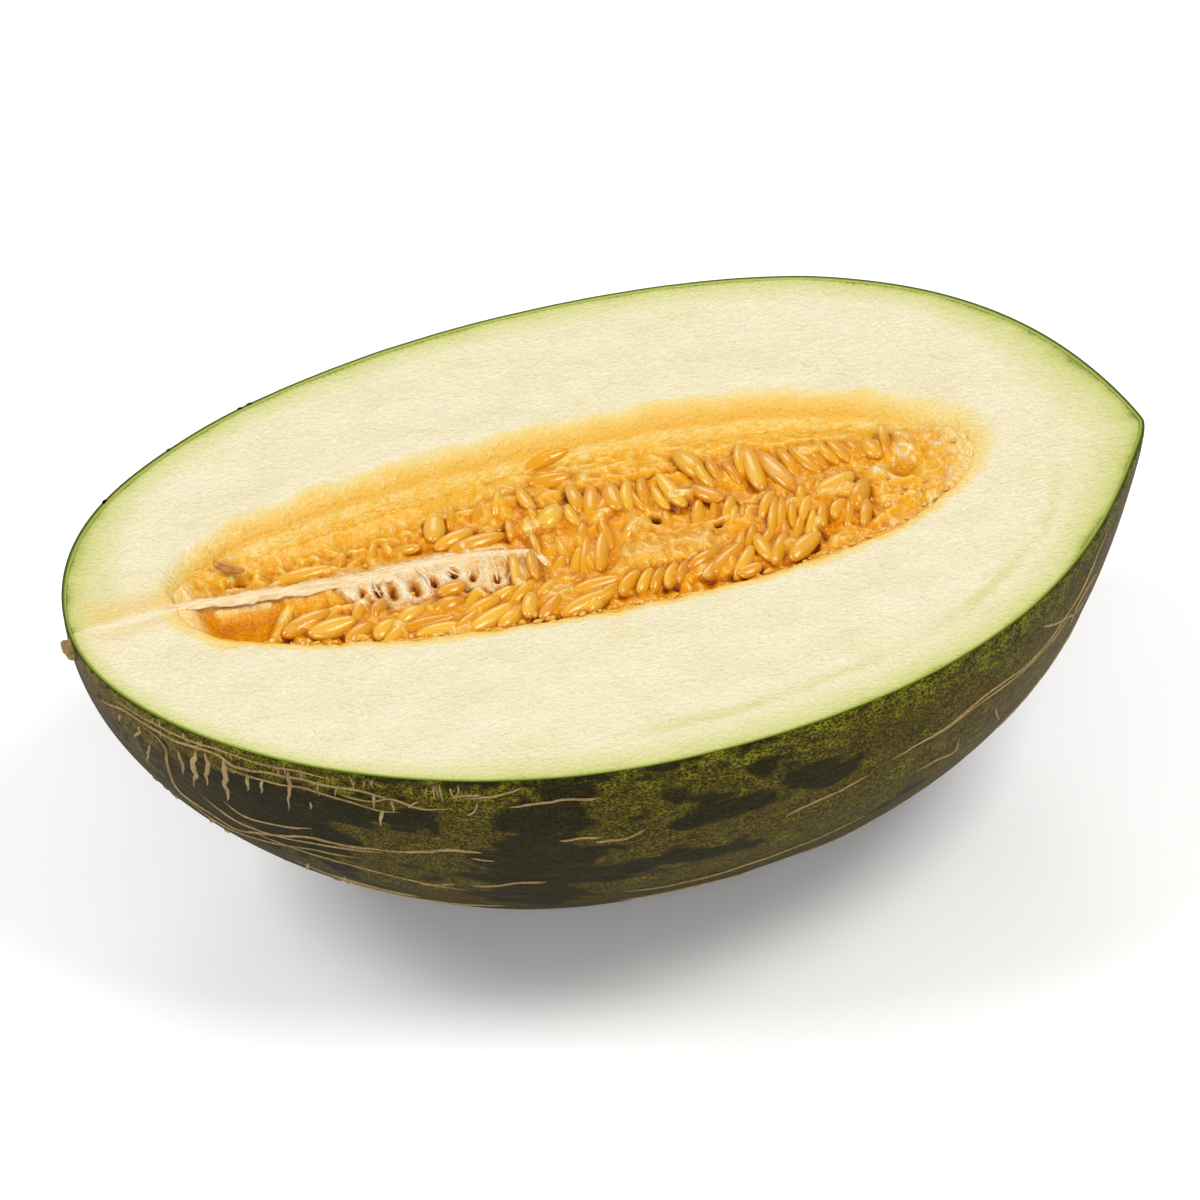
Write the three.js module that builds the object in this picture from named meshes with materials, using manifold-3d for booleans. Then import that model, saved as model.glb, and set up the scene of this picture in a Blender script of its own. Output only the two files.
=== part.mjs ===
// Half of a long green-rinded melon, cut lengthwise and lying on its round side with the cut face up.
// Millimetres, +Z up, +X from the blossom end towards the pointed stem end, +Y across the cut face.
// Every shape is worked out about the middle of the cut face; the last lines move the origin to the
// middle of the underside.

import * as THREE from 'three';
import { LoftGeometry } from 'three/addons/geometries/LoftGeometry.js';
import { mergeVertices } from 'three/addons/utils/BufferGeometryUtils.js';
import Module from 'manifold-3d';

// ---------------------------------------------------------------- driving dimensions

// The fruit: its length, its half width at the widest ring, and its depth as a share of that half width.
const fruitLength = 260;
const fruitHalfWidth = 85.35;
const fruitDepthShare = 1.04;

// How the fruit narrows to its two ends. Each rule is a value at the widest ring and its change
// towards the stem end; a high bluntness gives a round end, a low one a pointed end.
const fruitTaper = {
  widestAt: -0.003,
  fullness: 2.205,
  fullnessChange: 0.377,
  fullnessAtEnds: 0.245,
  bluntness: 1.69,
  bluntnessChange: -0.306,
};

// The fruit isn't straight: its axis bows towards -Y, sways, and hooks over in the last few millimetres.
const axisBow = -7.3;
const axisSway = 2.6;
const blossomHook = -3.1;
const stemHook = -12.1;
const hookReach = 0.05;

// Broad ridges that run along the rind, counted round the whole fruit; one of them is the lowest line.
const ribCount = 8;
const ribHeight = 0.5;

// The seed hollow, measured like the fruit.
const hollowFromX = -104;
const hollowToX = 89;
const hollowHalfWidth = 33;
const hollowDepth = 31;
const hollowMiddleY = -4;
const hollowTurn = -0.02;
const hollowTaper = {
  widestAt: 0.1,
  fullness: 2.1,
  fullnessChange: 0,
  fullnessAtEnds: 0,
  bluntness: 2.1,
  bluntnessChange: -0.3,
};

// The seeds and pulp: how far under the cut face they lie at the -Y wall, along the middle and at the
// +Y wall, where their mound falls away to that wall (as shares of the hollow's half width), and the
// size of the lumps that the seeds make.
const seedsUnderNearWall = 2.6;
const seedsUnderMiddle = 3.4;
const seedsUnderFarWall = 12.5;
const pulpUnderStemEnd = 2.0;
const fallFromAtBlossom = 0.12;
const fallFromAtStem = 0.42;
const fallWidth = 0.42;
const pulpRiseLength = 36;
const pulpLevelLength = 14;
const seedPitch = 6.4;
const seedSlant = 0.35;
const seedRowHeight = 0.63;
const seedDriftHeight = 0.45;
const pulpCalm = 0.6;

// A pocket near the blossom end that the seeds have dropped out of.
const pocketCentre = new THREE.Vector2(-90, -10);
const pocketReach = new THREE.Vector2(9, 6);
const pocketDepth = 3.6;

// The pale strand that the seeds hang from, with the web of fibres along its near side.
const strandFromX = -103;
const strandToX = -18;
const strandHalfWidth = 2.2;
const webHalfWidth = 5.4;
const strandHalfHeight = 2.3;
const strandUnderFace = 1.1;
const strandStartY = -1.4;
const strandDriftY = -5.2;
const webFromShare = 0.3;
const webFullShare = 0.6;
const webSink = 1.2;
const webDroop = 1.4;

// The corky scar at the blossom end.
const scarSize = new THREE.Vector3(2.8, 3.4, 3.6);
const scarCentre = new THREE.Vector3(-129.2, -4.6, -1.4);

// The flat that the half rests on, as a depth cut off the lowest point, and the gap between pieces.
const footDepth = 0.6;
const pieceGap = 0.35;

// How finely the surfaces are divided.
const rindRings = 52;
const rindSides = 28;
const hollowRings = 30;
const hollowSides = 20;
const seedRows = 60;
const seedColumns = 18;
const strandRings = 26;
const strandSides = 12;

// ---------------------------------------------------------------- joining and cutting

const library = await Module();
library.setup();

function toSolid(geometry) {
  const bare = new THREE.BufferGeometry();
  bare.setAttribute('position', geometry.getAttribute('position'));
  bare.setIndex(geometry.getIndex());
  const merged = mergeVertices(bare, 1e-4);
  const mesh = new library.Mesh({
    numProp: 3,
    vertProperties: Float32Array.from(merged.attributes.position.array),
    triVerts: Uint32Array.from(merged.index.array),
  });
  return new library.Manifold(mesh);
}

function toGeometry(solid) {
  const mesh = solid.getMesh();
  const geometry = new THREE.BufferGeometry();
  geometry.setAttribute('position', new THREE.BufferAttribute(Float32Array.from(mesh.vertProperties), 3));
  geometry.setIndex(new THREE.BufferAttribute(Uint32Array.from(mesh.triVerts), 1));
  geometry.computeVertexNormals();
  return geometry;
}

function blockBetween(low, high) {
  const size = high.clone().sub(low);
  const block = new THREE.BoxGeometry(size.x, size.y, size.z);
  block.translate((low.x + high.x) / 2, (low.y + high.y) / 2, (low.z + high.z) / 2);
  return toSolid(block);
}

// ---------------------------------------------------------------- shared curves

// Width along a fruit-like outline, 1 at its widest and 0 at both ends; t runs from -1 to 1.
function taperAt(t, rule) {
  const w = (t - rule.widestAt) / (1 - rule.widestAt * t);
  const fullness = rule.fullness + rule.fullnessChange * w + rule.fullnessAtEnds * w * w;
  const bluntness = rule.bluntness + rule.bluntnessChange * w;
  return Math.pow(Math.max(0, 1 - Math.pow(Math.abs(w), fullness)), 1 / bluntness);
}

// Places from end to end that lie closer together near the ends, where the outline turns fastest.
function placesAlong(count) {
  const endMargin = 0.02;
  const places = [];
  for (let i = 0; i <= count; i += 1) {
    places.push(-Math.cos(endMargin + (Math.PI - 2 * endMargin) * (i / count)));
  }
  return places;
}

function smoothStep(from, to, value) {
  return THREE.MathUtils.smoothstep(value, from, to);
}

// ---------------------------------------------------------------- flesh and rind

function fruitAxisY(t) {
  const bow = axisBow * (1 - t * t) + axisSway * (t - t * t * t);
  return bow + blossomHook * Math.exp(-(1 + t) / hookReach) + stemHook * Math.exp(-(1 - t) / hookReach);
}

// One half ring of rind, from the -Y edge of the cut under the fruit to its +Y edge.
function rindRing(t) {
  const halfWidth = fruitHalfWidth * taperAt(t, fruitTaper);
  const points = [];
  for (let i = 0; i <= rindSides; i += 1) {
    const angle = Math.PI * (1 + i / rindSides);
    const fade = Math.sin(angle) ** 2 * (halfWidth / fruitHalfWidth);
    const radius = halfWidth + ribHeight * Math.cos(ribCount * angle) * fade;
    points.push(new THREE.Vector3(
      t * fruitLength / 2,
      fruitAxisY(t) + radius * Math.cos(angle),
      fruitDepthShare * radius * Math.sin(angle),
    ));
  }
  return points;
}

function blossomScar() {
  const scar = new THREE.SphereGeometry(1, 14, 10);
  scar.scale(scarSize.x, scarSize.y, scarSize.z);
  scar.translate(scarCentre.x, scarCentre.y, scarCentre.z);
  return toSolid(scar);
}

// ---------------------------------------------------------------- seed hollow

const hollowMiddleX = (hollowFromX + hollowToX) / 2;
const hollowHalfLength = (hollowToX - hollowFromX) / 2;

// The hollow at a place t along it, drawn in from its wall by an inset.
function hollowAt(t, inset = 0) {
  const share = taperAt(t, hollowTaper);
  const x = hollowMiddleX + t * (hollowHalfLength - 2 * inset);
  return {
    x,
    middleY: hollowMiddleY + hollowTurn * x,
    halfWidth: Math.max(hollowHalfWidth * share - inset, 0.2),
    depth: Math.max(hollowDepth * share - inset, 0.2),
  };
}

// The hollow as a closed body that stands well above the cut face.
function hollowBody(inset) {
  const rim = 8;
  const sections = placesAlong(hollowRings).map((t) => {
    const { x, middleY, halfWidth, depth } = hollowAt(t, inset);
    const points = [
      new THREE.Vector3(x, middleY + halfWidth, rim),
      new THREE.Vector3(x, middleY - halfWidth, rim),
    ];
    for (let i = 0; i <= hollowSides; i += 1) {
      const angle = Math.PI * (1 + i / hollowSides);
      points.push(new THREE.Vector3(x, middleY + halfWidth * Math.cos(angle), depth * Math.sin(angle)));
    }
    return points;
  });
  return toSolid(new LoftGeometry(sections, { capStart: true, capEnd: true }));
}

// ---------------------------------------------------------------- seeds and pulp

// Height of the top of the seeds: a mound near the cut face that falls away to the +Y wall.
function seedTop(x, y) {
  const along = THREE.MathUtils.clamp((x - hollowMiddleX) / hollowHalfLength, -1, 1);
  const { middleY, halfWidth } = hollowAt(along);
  const across = THREE.MathUtils.clamp((y - middleY) / halfWidth, -1, 1);
  const fallFrom = THREE.MathUtils.lerp(fallFromAtBlossom, fallFromAtStem, smoothStep(-60, -20, x));
  let under = seedsUnderMiddle;
  under += (seedsUnderNearWall - seedsUnderMiddle) * smoothStep(0.3, 0.9, -across);
  under += (seedsUnderFarWall - seedsUnderMiddle) * smoothStep(fallFrom, fallFrom + fallWidth, across);
  under += pocketDepth * Math.exp(
    -(((x - pocketCentre.x) / pocketReach.x) ** 2) - ((y - pocketCentre.y) / pocketReach.y) ** 2,
  );
  const atStemEnd = smoothStep(hollowToX - pulpRiseLength, hollowToX - pulpLevelLength, x);
  under += (pulpUnderStemEnd - under) * atStemEnd;
  const turn = Math.PI / seedPitch;
  const rows = Math.sin((x + seedSlant * y) * 2 * turn) * Math.cos(y * turn);
  const drift = Math.sin(x * turn * 0.43 + 1.3) * Math.sin((y * 0.67 - x * 0.14) * turn);
  return -under + (seedRowHeight * rows + seedDriftHeight * drift) * (1 - pulpCalm * atStemEnd);
}

// A block whose top is the seeds' surface and whose floor lies under the hollow.
function seedBlock() {
  const floor = -hollowDepth - 5;
  const sections = [];
  for (let row = 0; row <= seedRows; row += 1) {
    const x = THREE.MathUtils.lerp(hollowFromX - 2, hollowToX + 2, row / seedRows);
    const points = [];
    for (let column = 0; column <= seedColumns; column += 1) {
      const y = hollowMiddleY + (hollowHalfWidth + 3) * (1 - 2 * column / seedColumns);
      points.push(new THREE.Vector3(x, y, seedTop(x, y)));
    }
    points.push(new THREE.Vector3(x, hollowMiddleY - hollowHalfWidth - 3, floor));
    points.push(new THREE.Vector3(x, hollowMiddleY + hollowHalfWidth + 3, floor));
    sections.push(points);
  }
  return toSolid(new LoftGeometry(sections, { capStart: true, capEnd: true }));
}

// ---------------------------------------------------------------- pale strand and its web

// The strand starts as a cord at the blossom end and flattens into a web on its -Y side.
function strandBody(swell) {
  const sections = [];
  for (let ring = 0; ring <= strandRings; ring += 1) {
    const along = ring / strandRings;
    const x = THREE.MathUtils.lerp(strandFromX - swell, strandToX + swell, along);
    const web = smoothStep(webFromShare, webFullShare, along);
    const ends = Math.sqrt(Math.max(0.02, 1 - Math.pow(Math.abs(2 * along - 1), 6)));
    const halfWidth = THREE.MathUtils.lerp(strandHalfWidth, webHalfWidth, web) * ends + swell;
    const halfHeight = strandHalfHeight * ends + swell;
    const y = strandStartY + strandDriftY * Math.sqrt(along) - web * (webHalfWidth - strandHalfWidth);
    const z = -strandUnderFace - strandHalfHeight - webSink * web;
    const points = [];
    for (let side = 0; side < strandSides; side += 1) {
      const angle = 2 * Math.PI * side / strandSides;
      const droop = web * webDroop * Math.cos(angle);
      points.push(new THREE.Vector3(
        x,
        y + halfWidth * Math.cos(angle),
        z + droop + halfHeight * Math.sin(angle),
      ));
    }
    sections.push(points);
  }
  return toSolid(new LoftGeometry(sections, { capStart: true, capEnd: true }));
}

// ---------------------------------------------------------------- putting the half together

const wellOutside = 2 * fruitLength;
const lowestPoint = -fruitDepthShare * (fruitHalfWidth + ribHeight);
const underCutFace = blockBetween(
  new THREE.Vector3(-wellOutside, -wellOutside, lowestPoint + footDepth),
  new THREE.Vector3(wellOutside, wellOutside, 0),
);

const wholeHalf = toSolid(new LoftGeometry(
  placesAlong(rindRings).map(rindRing),
  { capStart: true, capEnd: true },
));
const flesh = wholeHalf.add(blossomScar()).intersect(underCutFace).subtract(hollowBody(0));
const strand = strandBody(0).intersect(hollowBody(pieceGap));
const seeds = seedBlock().intersect(hollowBody(pieceGap)).subtract(strandBody(pieceGap));

function namedMesh(name, solid, color, roughness) {
  const material = new THREE.MeshStandardMaterial({ color, roughness, metalness: 0 });
  const mesh = new THREE.Mesh(toGeometry(solid), material);
  mesh.name = name;
  return mesh;
}

const group = new THREE.Group();
group.add(namedMesh('melon_flesh', flesh, 0xf0e7bd, 0.45));
group.add(namedMesh('seed_mass', seeds, 0xe8a838, 0.35));
group.add(namedMesh('placenta_strand', strand, 0xf3e2c0, 0.4));

const bounds = new THREE.Box3().setFromObject(group);
const middle = bounds.getCenter(new THREE.Vector3());
group.position.set(-middle.x, -middle.y, -bounds.min.z);
group.updateMatrixWorld(true);

export default group;
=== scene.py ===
# Half of a long green melon, cut face up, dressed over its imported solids.
import math

import bpy
import numpy as np
from mathutils import Matrix, Vector


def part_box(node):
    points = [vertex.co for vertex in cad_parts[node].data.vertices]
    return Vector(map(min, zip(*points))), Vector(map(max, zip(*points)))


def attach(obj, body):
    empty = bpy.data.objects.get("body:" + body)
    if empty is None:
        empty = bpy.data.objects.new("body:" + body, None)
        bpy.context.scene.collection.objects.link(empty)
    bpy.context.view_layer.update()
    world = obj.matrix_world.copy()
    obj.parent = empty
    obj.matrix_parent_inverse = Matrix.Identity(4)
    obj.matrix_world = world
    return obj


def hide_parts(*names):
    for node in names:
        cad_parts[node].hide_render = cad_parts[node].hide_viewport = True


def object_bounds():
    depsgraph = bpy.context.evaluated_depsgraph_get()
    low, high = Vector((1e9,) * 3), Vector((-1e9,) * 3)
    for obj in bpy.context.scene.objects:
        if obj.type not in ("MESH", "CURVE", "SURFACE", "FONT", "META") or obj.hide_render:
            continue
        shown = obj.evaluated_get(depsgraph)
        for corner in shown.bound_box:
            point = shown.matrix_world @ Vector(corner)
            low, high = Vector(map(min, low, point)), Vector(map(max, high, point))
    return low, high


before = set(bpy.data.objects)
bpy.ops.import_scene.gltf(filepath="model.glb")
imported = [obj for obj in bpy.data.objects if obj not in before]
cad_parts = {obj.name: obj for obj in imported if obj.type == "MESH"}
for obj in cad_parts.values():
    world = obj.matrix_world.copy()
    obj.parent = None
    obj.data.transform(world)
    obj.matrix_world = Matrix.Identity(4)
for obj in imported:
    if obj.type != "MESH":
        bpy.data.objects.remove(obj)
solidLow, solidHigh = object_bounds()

# ---- the fruit's outline, in millimetres about the middle of the cut face: +X to the stem end, +Z up
fruit = {
    "length": 260.0,
    "halfWidth": 85.35,
    "depthShare": 1.04,
    "bow": -7.3,
    "sway": 2.6,
    "blossomHook": -3.1,
    "stemHook": -12.1,
    "hookReach": 0.05,
    "ribs": 8,
    "ribHeight": 0.5,
    "skin": 0.9,
    "widestAt": -0.003,
    "fullness": (2.205, 0.377, 0.245),
    "bluntness": (1.69, -0.306),
}
hollow = {
    "from": -104.0,
    "to": 89.0,
    "halfWidth": 33.0,
    "depth": 31.0,
    "middleY": -4.0,
    "turn": -0.02,
    "widestAt": 0.1,
    "fullness": (2.1, 0.0, 0.0),
    "bluntness": (2.1, -0.3),
}


def smooth(low, high, value):
    # 0 below low, 1 above high and an S curve between them
    part = np.clip((value - low) / (high - low), 0, 1)
    return part * part * (3 - 2 * part)


def taperAt(t, rule):
    # width along the outline: (1 - |w|^fullness)^(1/bluntness), where w is t moved so that the widest
    # place is 0, and both powers change a little from the blossom end to the stem end
    w = (t - rule["widestAt"]) / (1 - rule["widestAt"] * t)
    fullness = rule["fullness"][0] + rule["fullness"][1] * w + rule["fullness"][2] * w * w
    bluntness = rule["bluntness"][0] + rule["bluntness"][1] * w
    return np.clip(1 - np.abs(w) ** fullness, 0, 1) ** (1 / bluntness)


def axisY(t):
    # the fruit's axis: a bow, a sway and a short hook at each end
    bow = fruit["bow"] * (1 - t * t) + fruit["sway"] * (t - t ** 3)
    blossom = fruit["blossomHook"] * np.exp(-(1 + t) / fruit["hookReach"])
    return bow + blossom + fruit["stemHook"] * np.exp(-(1 - t) / fruit["hookReach"])


def lumps(points, size, seed, octaves=1):
    # smooth random heights from -1 to 1: random values on a lattice of the given size, blended by an S
    # curve along each axis; each further octave has half the size and half the height
    table = np.random.RandomState(seed).permutation(256)
    total = np.zeros(points.shape[:-1])
    height, reach = 1.0, 0.0
    for octave in range(octaves):
        place = points / np.asarray(size, float) * 2 ** octave + 31.7 * octave
        cell = np.floor(place).astype(np.int64)
        part = place - cell
        part = part * part * (3 - 2 * part)
        for corner in np.ndindex(2, 2, 2):
            key = table[(cell[..., 0] + corner[0]) & 255]
            key = table[(key + cell[..., 1] + corner[1]) & 255]
            key = table[(key + cell[..., 2] + corner[2]) & 255]
            weight = np.prod(np.where(corner, part, 1 - part), axis=-1)
            total += height * weight * (key / 127.5 - 1)
        reach += height
        height /= 2
    return total / reach


def stacked(*values):
    # x, y and z arrays made one array of points
    return np.stack(np.broadcast_arrays(*values), axis=-1)


def rindRelief(t, angle):
    # slow swellings and shallow dents of the rind, which die away at the two tips
    place = stacked(t * 130, 86 * np.cos(angle), 86 * np.sin(angle))
    fade = taperAt(t, fruit) ** 0.5
    return fade * (0.55 * lumps(place, 34, 3, 2) + 0.12 * lumps(place, (9, 5, 5), 4, 2) - 0.35)


def rindPoint(t, angle, inset=0.0):
    # a point of the rind: t runs from the blossom end (-1) to the stem end (1), angle from the near edge
    # of the cut (pi) under the fruit to its far edge (two pi)
    width = fruit["halfWidth"] * taperAt(t, fruit)
    fade = np.sin(angle) ** 2 * width / fruit["halfWidth"]
    radius = width + fruit["ribHeight"] * np.cos(fruit["ribs"] * angle) * fade + rindRelief(t, angle)
    radius = np.maximum(radius - inset, 0) * np.where(np.abs(t) > 0.99999, 0, 1)
    return stacked(
        t * (fruit["length"] / 2 - inset),
        axisY(t) + radius * np.cos(angle),
        fruit["depthShare"] * radius * np.sin(angle),
    )


hollowMiddleX = (hollow["from"] + hollow["to"]) / 2
hollowHalfLength = (hollow["to"] - hollow["from"]) / 2


def hollowSpan(x):
    # the hollow's middle line, half width and depth at a place along it
    share = taperAt(np.clip((x - hollowMiddleX) / hollowHalfLength, -1, 1), hollow)
    return hollow["middleY"] + hollow["turn"] * x, hollow["halfWidth"] * share, hollow["depth"] * share


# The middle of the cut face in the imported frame: the stem tip and the far edge touch the solid's box.
_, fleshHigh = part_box("melon_flesh")
manyT = np.linspace(-1, 1, 2001)
farEdge = (axisY(manyT) + fruit["halfWidth"] * taperAt(manyT, fruit)).max()
cutMiddle = np.array([fleshHigh.x - fruit["length"] / 2000, fleshHigh.y - farEdge / 1000, fleshHigh.z])


# ---- making meshes
def squares(rows, columns):
    # corner numbers of the squares between neighbouring points of a grid whose rows are closed rings
    row, column = np.meshgrid(np.arange(rows - 1), np.arange(columns), indexing="ij")
    after = (column + 1) % columns
    corners = [row * columns + column, row * columns + after]
    corners += [(row + 1) * columns + after, (row + 1) * columns + column]
    return np.stack(corners, axis=-1).reshape(-1, 4)


def ringAngles(count):
    # even steps once round
    return np.linspace(0, 2 * math.pi, count, endpoint=False)


def closedEnds(grid):
    # the grid with one more ring at each end, drawn in to the middle of the ring beside it
    middles = [ring.mean(axis=1, keepdims=True) for ring in (grid[:1], grid[-1:])]
    first, last = (np.repeat(middle, grid.shape[1], axis=1) for middle in middles)
    return np.concatenate([first, grid, last])


def stitched(grids):
    # several grids of rings as one list of points and one of faces
    points, faces, start = [], [], 0
    for grid in grids:
        rows, columns = grid.shape[:2]
        points.append(grid.reshape(-1, 3))
        faces.append(squares(rows, columns) + start)
        start += rows * columns
    return np.concatenate(points), np.concatenate(faces)


def addObject(name, data):
    # an object at the origin, linked to the scene
    made = bpy.data.objects.new(name, data)
    bpy.context.scene.collection.objects.link(made)
    return made


def makePiece(name, grid, faces, features=None):
    # a mesh from a grid of points in millimetres: points that coincide are welded, sides that close up
    # at a pole are dropped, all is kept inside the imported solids' box, and faces are turned outwards
    inFrame = grid.reshape(-1, 3) / 1000 + cutMiddle
    inFrame = np.clip(inFrame, np.array(solidLow), np.array(solidHigh))
    keys = np.round(inFrame * 2e7).astype(np.int64)
    _, first, back = np.unique(keys, axis=0, return_index=True, return_inverse=True)
    corners = back.reshape(-1)[faces]
    places = inFrame[first]
    keep = corners != np.roll(corners, 1, axis=1)
    sound = keep.sum(axis=1) >= 3
    corners, keep = corners[sound], keep[sound]
    a, b, c, d = (places[corners[:, k]] for k in range(4))
    volume = sum(np.einsum("ij,ij->i", a, np.cross(p, q)).sum() for p, q in ((b, c), (c, d)))
    if volume < 0:
        corners = corners[:, ::-1]
        keep = corners != np.roll(corners, 1, axis=1)
    totals = keep.sum(axis=1)
    mesh = bpy.data.meshes.new(name)
    mesh.vertices.add(len(places))
    mesh.vertices.foreach_set("co", places.ravel())
    mesh.loops.add(int(totals.sum()))
    mesh.loops.foreach_set("vertex_index", corners[keep].astype(np.int32))
    mesh.polygons.add(len(totals))
    mesh.polygons.foreach_set("loop_start", (np.cumsum(totals) - totals).astype(np.int32))
    mesh.update(calc_edges=True)
    mesh.shade_smooth()
    for label, values in (features or {}).items():
        attribute = mesh.attributes.new(label, "FLOAT", "POINT")
        attribute.data.foreach_set("value", values.ravel()[first].astype(np.float32))
    mesh.validate()
    piece = addObject(name, mesh)
    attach(piece, "root")
    return piece


# ---- making materials
def tint(code, share=0.79):
    # a screen colour such as f5eac7 as the linear colour that a shader takes, at a share of its strength
    parts = [int(code[k:k + 2], 16) / 255 for k in (0, 2, 4)]
    linear = [p / 12.92 if p < 0.04045 else ((p + 0.055) / 1.055) ** 2.4 for p in parts]
    return tuple(share * p for p in linear) + (1.0,)


class Wire:
    # one output of a node, with arithmetic on it
    def __init__(self, finish, socket):
        self.finish, self.socket = finish, socket

    def __add__(self, other):
        return self.finish.maths("ADD", self, other)

    def __radd__(self, other):
        return self.finish.maths("ADD", other, self)

    def __sub__(self, other):
        return self.finish.maths("SUBTRACT", self, other)

    def __rsub__(self, other):
        return self.finish.maths("SUBTRACT", other, self)

    def __mul__(self, other):
        return self.finish.maths("MULTIPLY", self, other)

    def __rmul__(self, other):
        return self.finish.maths("MULTIPLY", other, self)

    def between(self, low, high):
        # 0 below low, 1 above high, smooth between
        return self.finish.node(
            "ShaderNodeMapRange", {"interpolation_type": "SMOOTHSTEP"},
            {"Value": self, "From Min": low, "From Max": high},
        )


class Finish:
    # a material around one Principled shader
    def __init__(self, name, **fixed):
        self.material = bpy.data.materials.new(name)
        self.material.use_nodes = True
        self.tree = self.material.node_tree
        self.shader = self.tree.nodes["Principled BSDF"]
        for label, value in fixed.items():
            self.shader.inputs[label.replace("_", " ")].default_value = value

    def node(self, kind, settings=None, sockets=None, output=0):
        made = self.tree.nodes.new(kind)
        for label, value in (settings or {}).items():
            if label == "stops":
                ramp = made.color_ramp
                while len(ramp.elements) < len(value):
                    ramp.elements.new(0.5)
                for element, (place, colour) in zip(ramp.elements, value):
                    element.position, element.color = place, colour
            else:
                setattr(made, label, value)
        for label, value in (sockets or {}).items():
            if isinstance(value, Wire):
                self.tree.links.new(value.socket, made.inputs[label])
            else:
                made.inputs[label].default_value = value
        return Wire(self, made.outputs[output])

    def maths(self, operation, *values):
        return self.node("ShaderNodeMath", {"operation": operation}, dict(enumerate(values)))

    def place(self, stretch):
        # object coordinates in millimetres, divided by a stretch along each axis
        spot = self.node("ShaderNodeTexCoord", output=3)
        scale = tuple(1000 / s for s in stretch)
        return self.node("ShaderNodeMapping", {}, {"Vector": spot, "Scale": scale})

    def grain(self, stretch, detail=2.0, rough=0.5):
        # cloudy noise, 0 to 1, whose lumps measure about stretch millimetres
        sockets = {"Vector": self.place(stretch), "Scale": 1.0, "Detail": detail, "Roughness": rough}
        return self.node("ShaderNodeTexNoise", {}, sockets)

    def feature(self, name):
        return self.node("ShaderNodeAttribute", {"attribute_name": name}, output=2)

    def ramp(self, value, *stops):
        stops = [(place, tint(code)) for place, code in stops]
        return self.node("ShaderNodeValToRGB", {"stops": stops}, {"Fac": value})

    def blend(self, share, a, b):
        a, b = (tint(c) if isinstance(c, str) else c for c in (a, b))
        return self.node("ShaderNodeMix", {"data_type": "RGBA"}, {0: share, 6: a, 7: b}, output=2)

    def bump(self, height, depth, strength):
        return self.node("ShaderNodeBump", {}, {"Height": height, "Distance": depth, "Strength": strength})

    def paint(self, **sockets):
        for label, wire in sockets.items():
            self.tree.links.new(wire.socket, self.shader.inputs[label.replace("_", " ")])
        return self.material


print("stage: camera and light")

# ---- camera
view = {
    "turn": -13.82,
    "height": 39.45,
    "roll": -3.66,
    "distance": 1.601,
    "lens": 204.3,
    "aimLower": 0.01391,
    "aimLeft": 0.00049,
}


def makeCamera():
    # the camera looks at the middle of the cut face, turned about the fruit and tipped up by its height,
    # and is aimed a little lower, so that the fruit stands above the middle of the frame
    turn, height, roll = (math.radians(view[k]) for k in ("turn", "height", "roll"))
    back = Vector((math.sin(turn) * math.cos(height), -math.cos(turn) * math.cos(height), math.sin(height)))
    side = Vector((math.cos(turn), math.sin(turn), 0))
    up = back.cross(side)
    side, up = side * math.cos(roll) + up * math.sin(roll), up * math.cos(roll) - side * math.sin(roll)
    forward = (-back - up * view["aimLower"] - side * view["aimLeft"]).normalized()
    side = forward.cross(up).normalized()
    up = side.cross(forward)
    data = bpy.data.cameras.new("camera")
    data.lens, data.sensor_width = view["lens"], 36
    data.clip_start, data.clip_end = 0.1, 20
    camera = addObject("camera", data)
    place = Vector(cutMiddle) + back * view["distance"]
    turned = Matrix((side, up, -forward)).transposed().to_4x4()
    camera.matrix_world = Matrix.Translation(place) @ turned
    bpy.context.scene.camera = camera


makeCamera()

# ---- floor, backdrop light and lamps
studio = {
    "floor": "ffffff",
    "floorReach": 6.0,
    "sky": 0.4,
    "lamps": [
        # name, place, size, power, colour
        ("leftSoftbox", (-1.62, 0.4, 2.07), 1.0, 31.5, (1.0, 1.0, 1.0)),
        ("rightSoftbox", (1.14, -0.63, 2.33), 1.0, 34.0, (1.0, 0.99, 0.97)),
        ("backSoftbox", (0.51, 2.07, 1.57), 1.0, 9.5, (1.0, 1.0, 1.0)),
        ("frontSoftbox", (-0.62, -2.52, 1.57), 1.4, 33.0, (1.0, 0.99, 0.97)),
    ],
}


def makeStudio():
    world = bpy.data.worlds.new("studio")
    world.use_nodes = True
    world.node_tree.nodes["Background"].inputs["Color"].default_value = (1, 1, 1, 1)
    world.node_tree.nodes["Background"].inputs["Strength"].default_value = studio["sky"]
    bpy.context.scene.world = world
    for name, place, size, power, colour in studio["lamps"]:
        data = bpy.data.lights.new(name, "AREA")
        data.size, data.energy, data.color = size, power, colour
        lamp = addObject(name, data)
        lamp.location = place
        lamp.rotation_euler = (Vector(cutMiddle) - Vector(place)).to_track_quat("-Z", "Y").to_euler()
    mesh = bpy.data.meshes.new("floor")
    reach = studio["floorReach"]
    corners = [(-reach, -reach, 0), (reach, -reach, 0), (reach, reach, 0), (-reach, reach, 0)]
    mesh.from_pydata(corners, [], [(0, 1, 2, 3)])
    floor = addObject("floor", mesh)
    coat = Finish("floorPaint", Roughness=0.9, Base_Color=tint(studio["floor"], 1.0))
    floor.data.materials.append(coat.material)


makeStudio()
bpy.context.scene.view_settings.view_transform = "Standard"

print("stage: rind")

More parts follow.
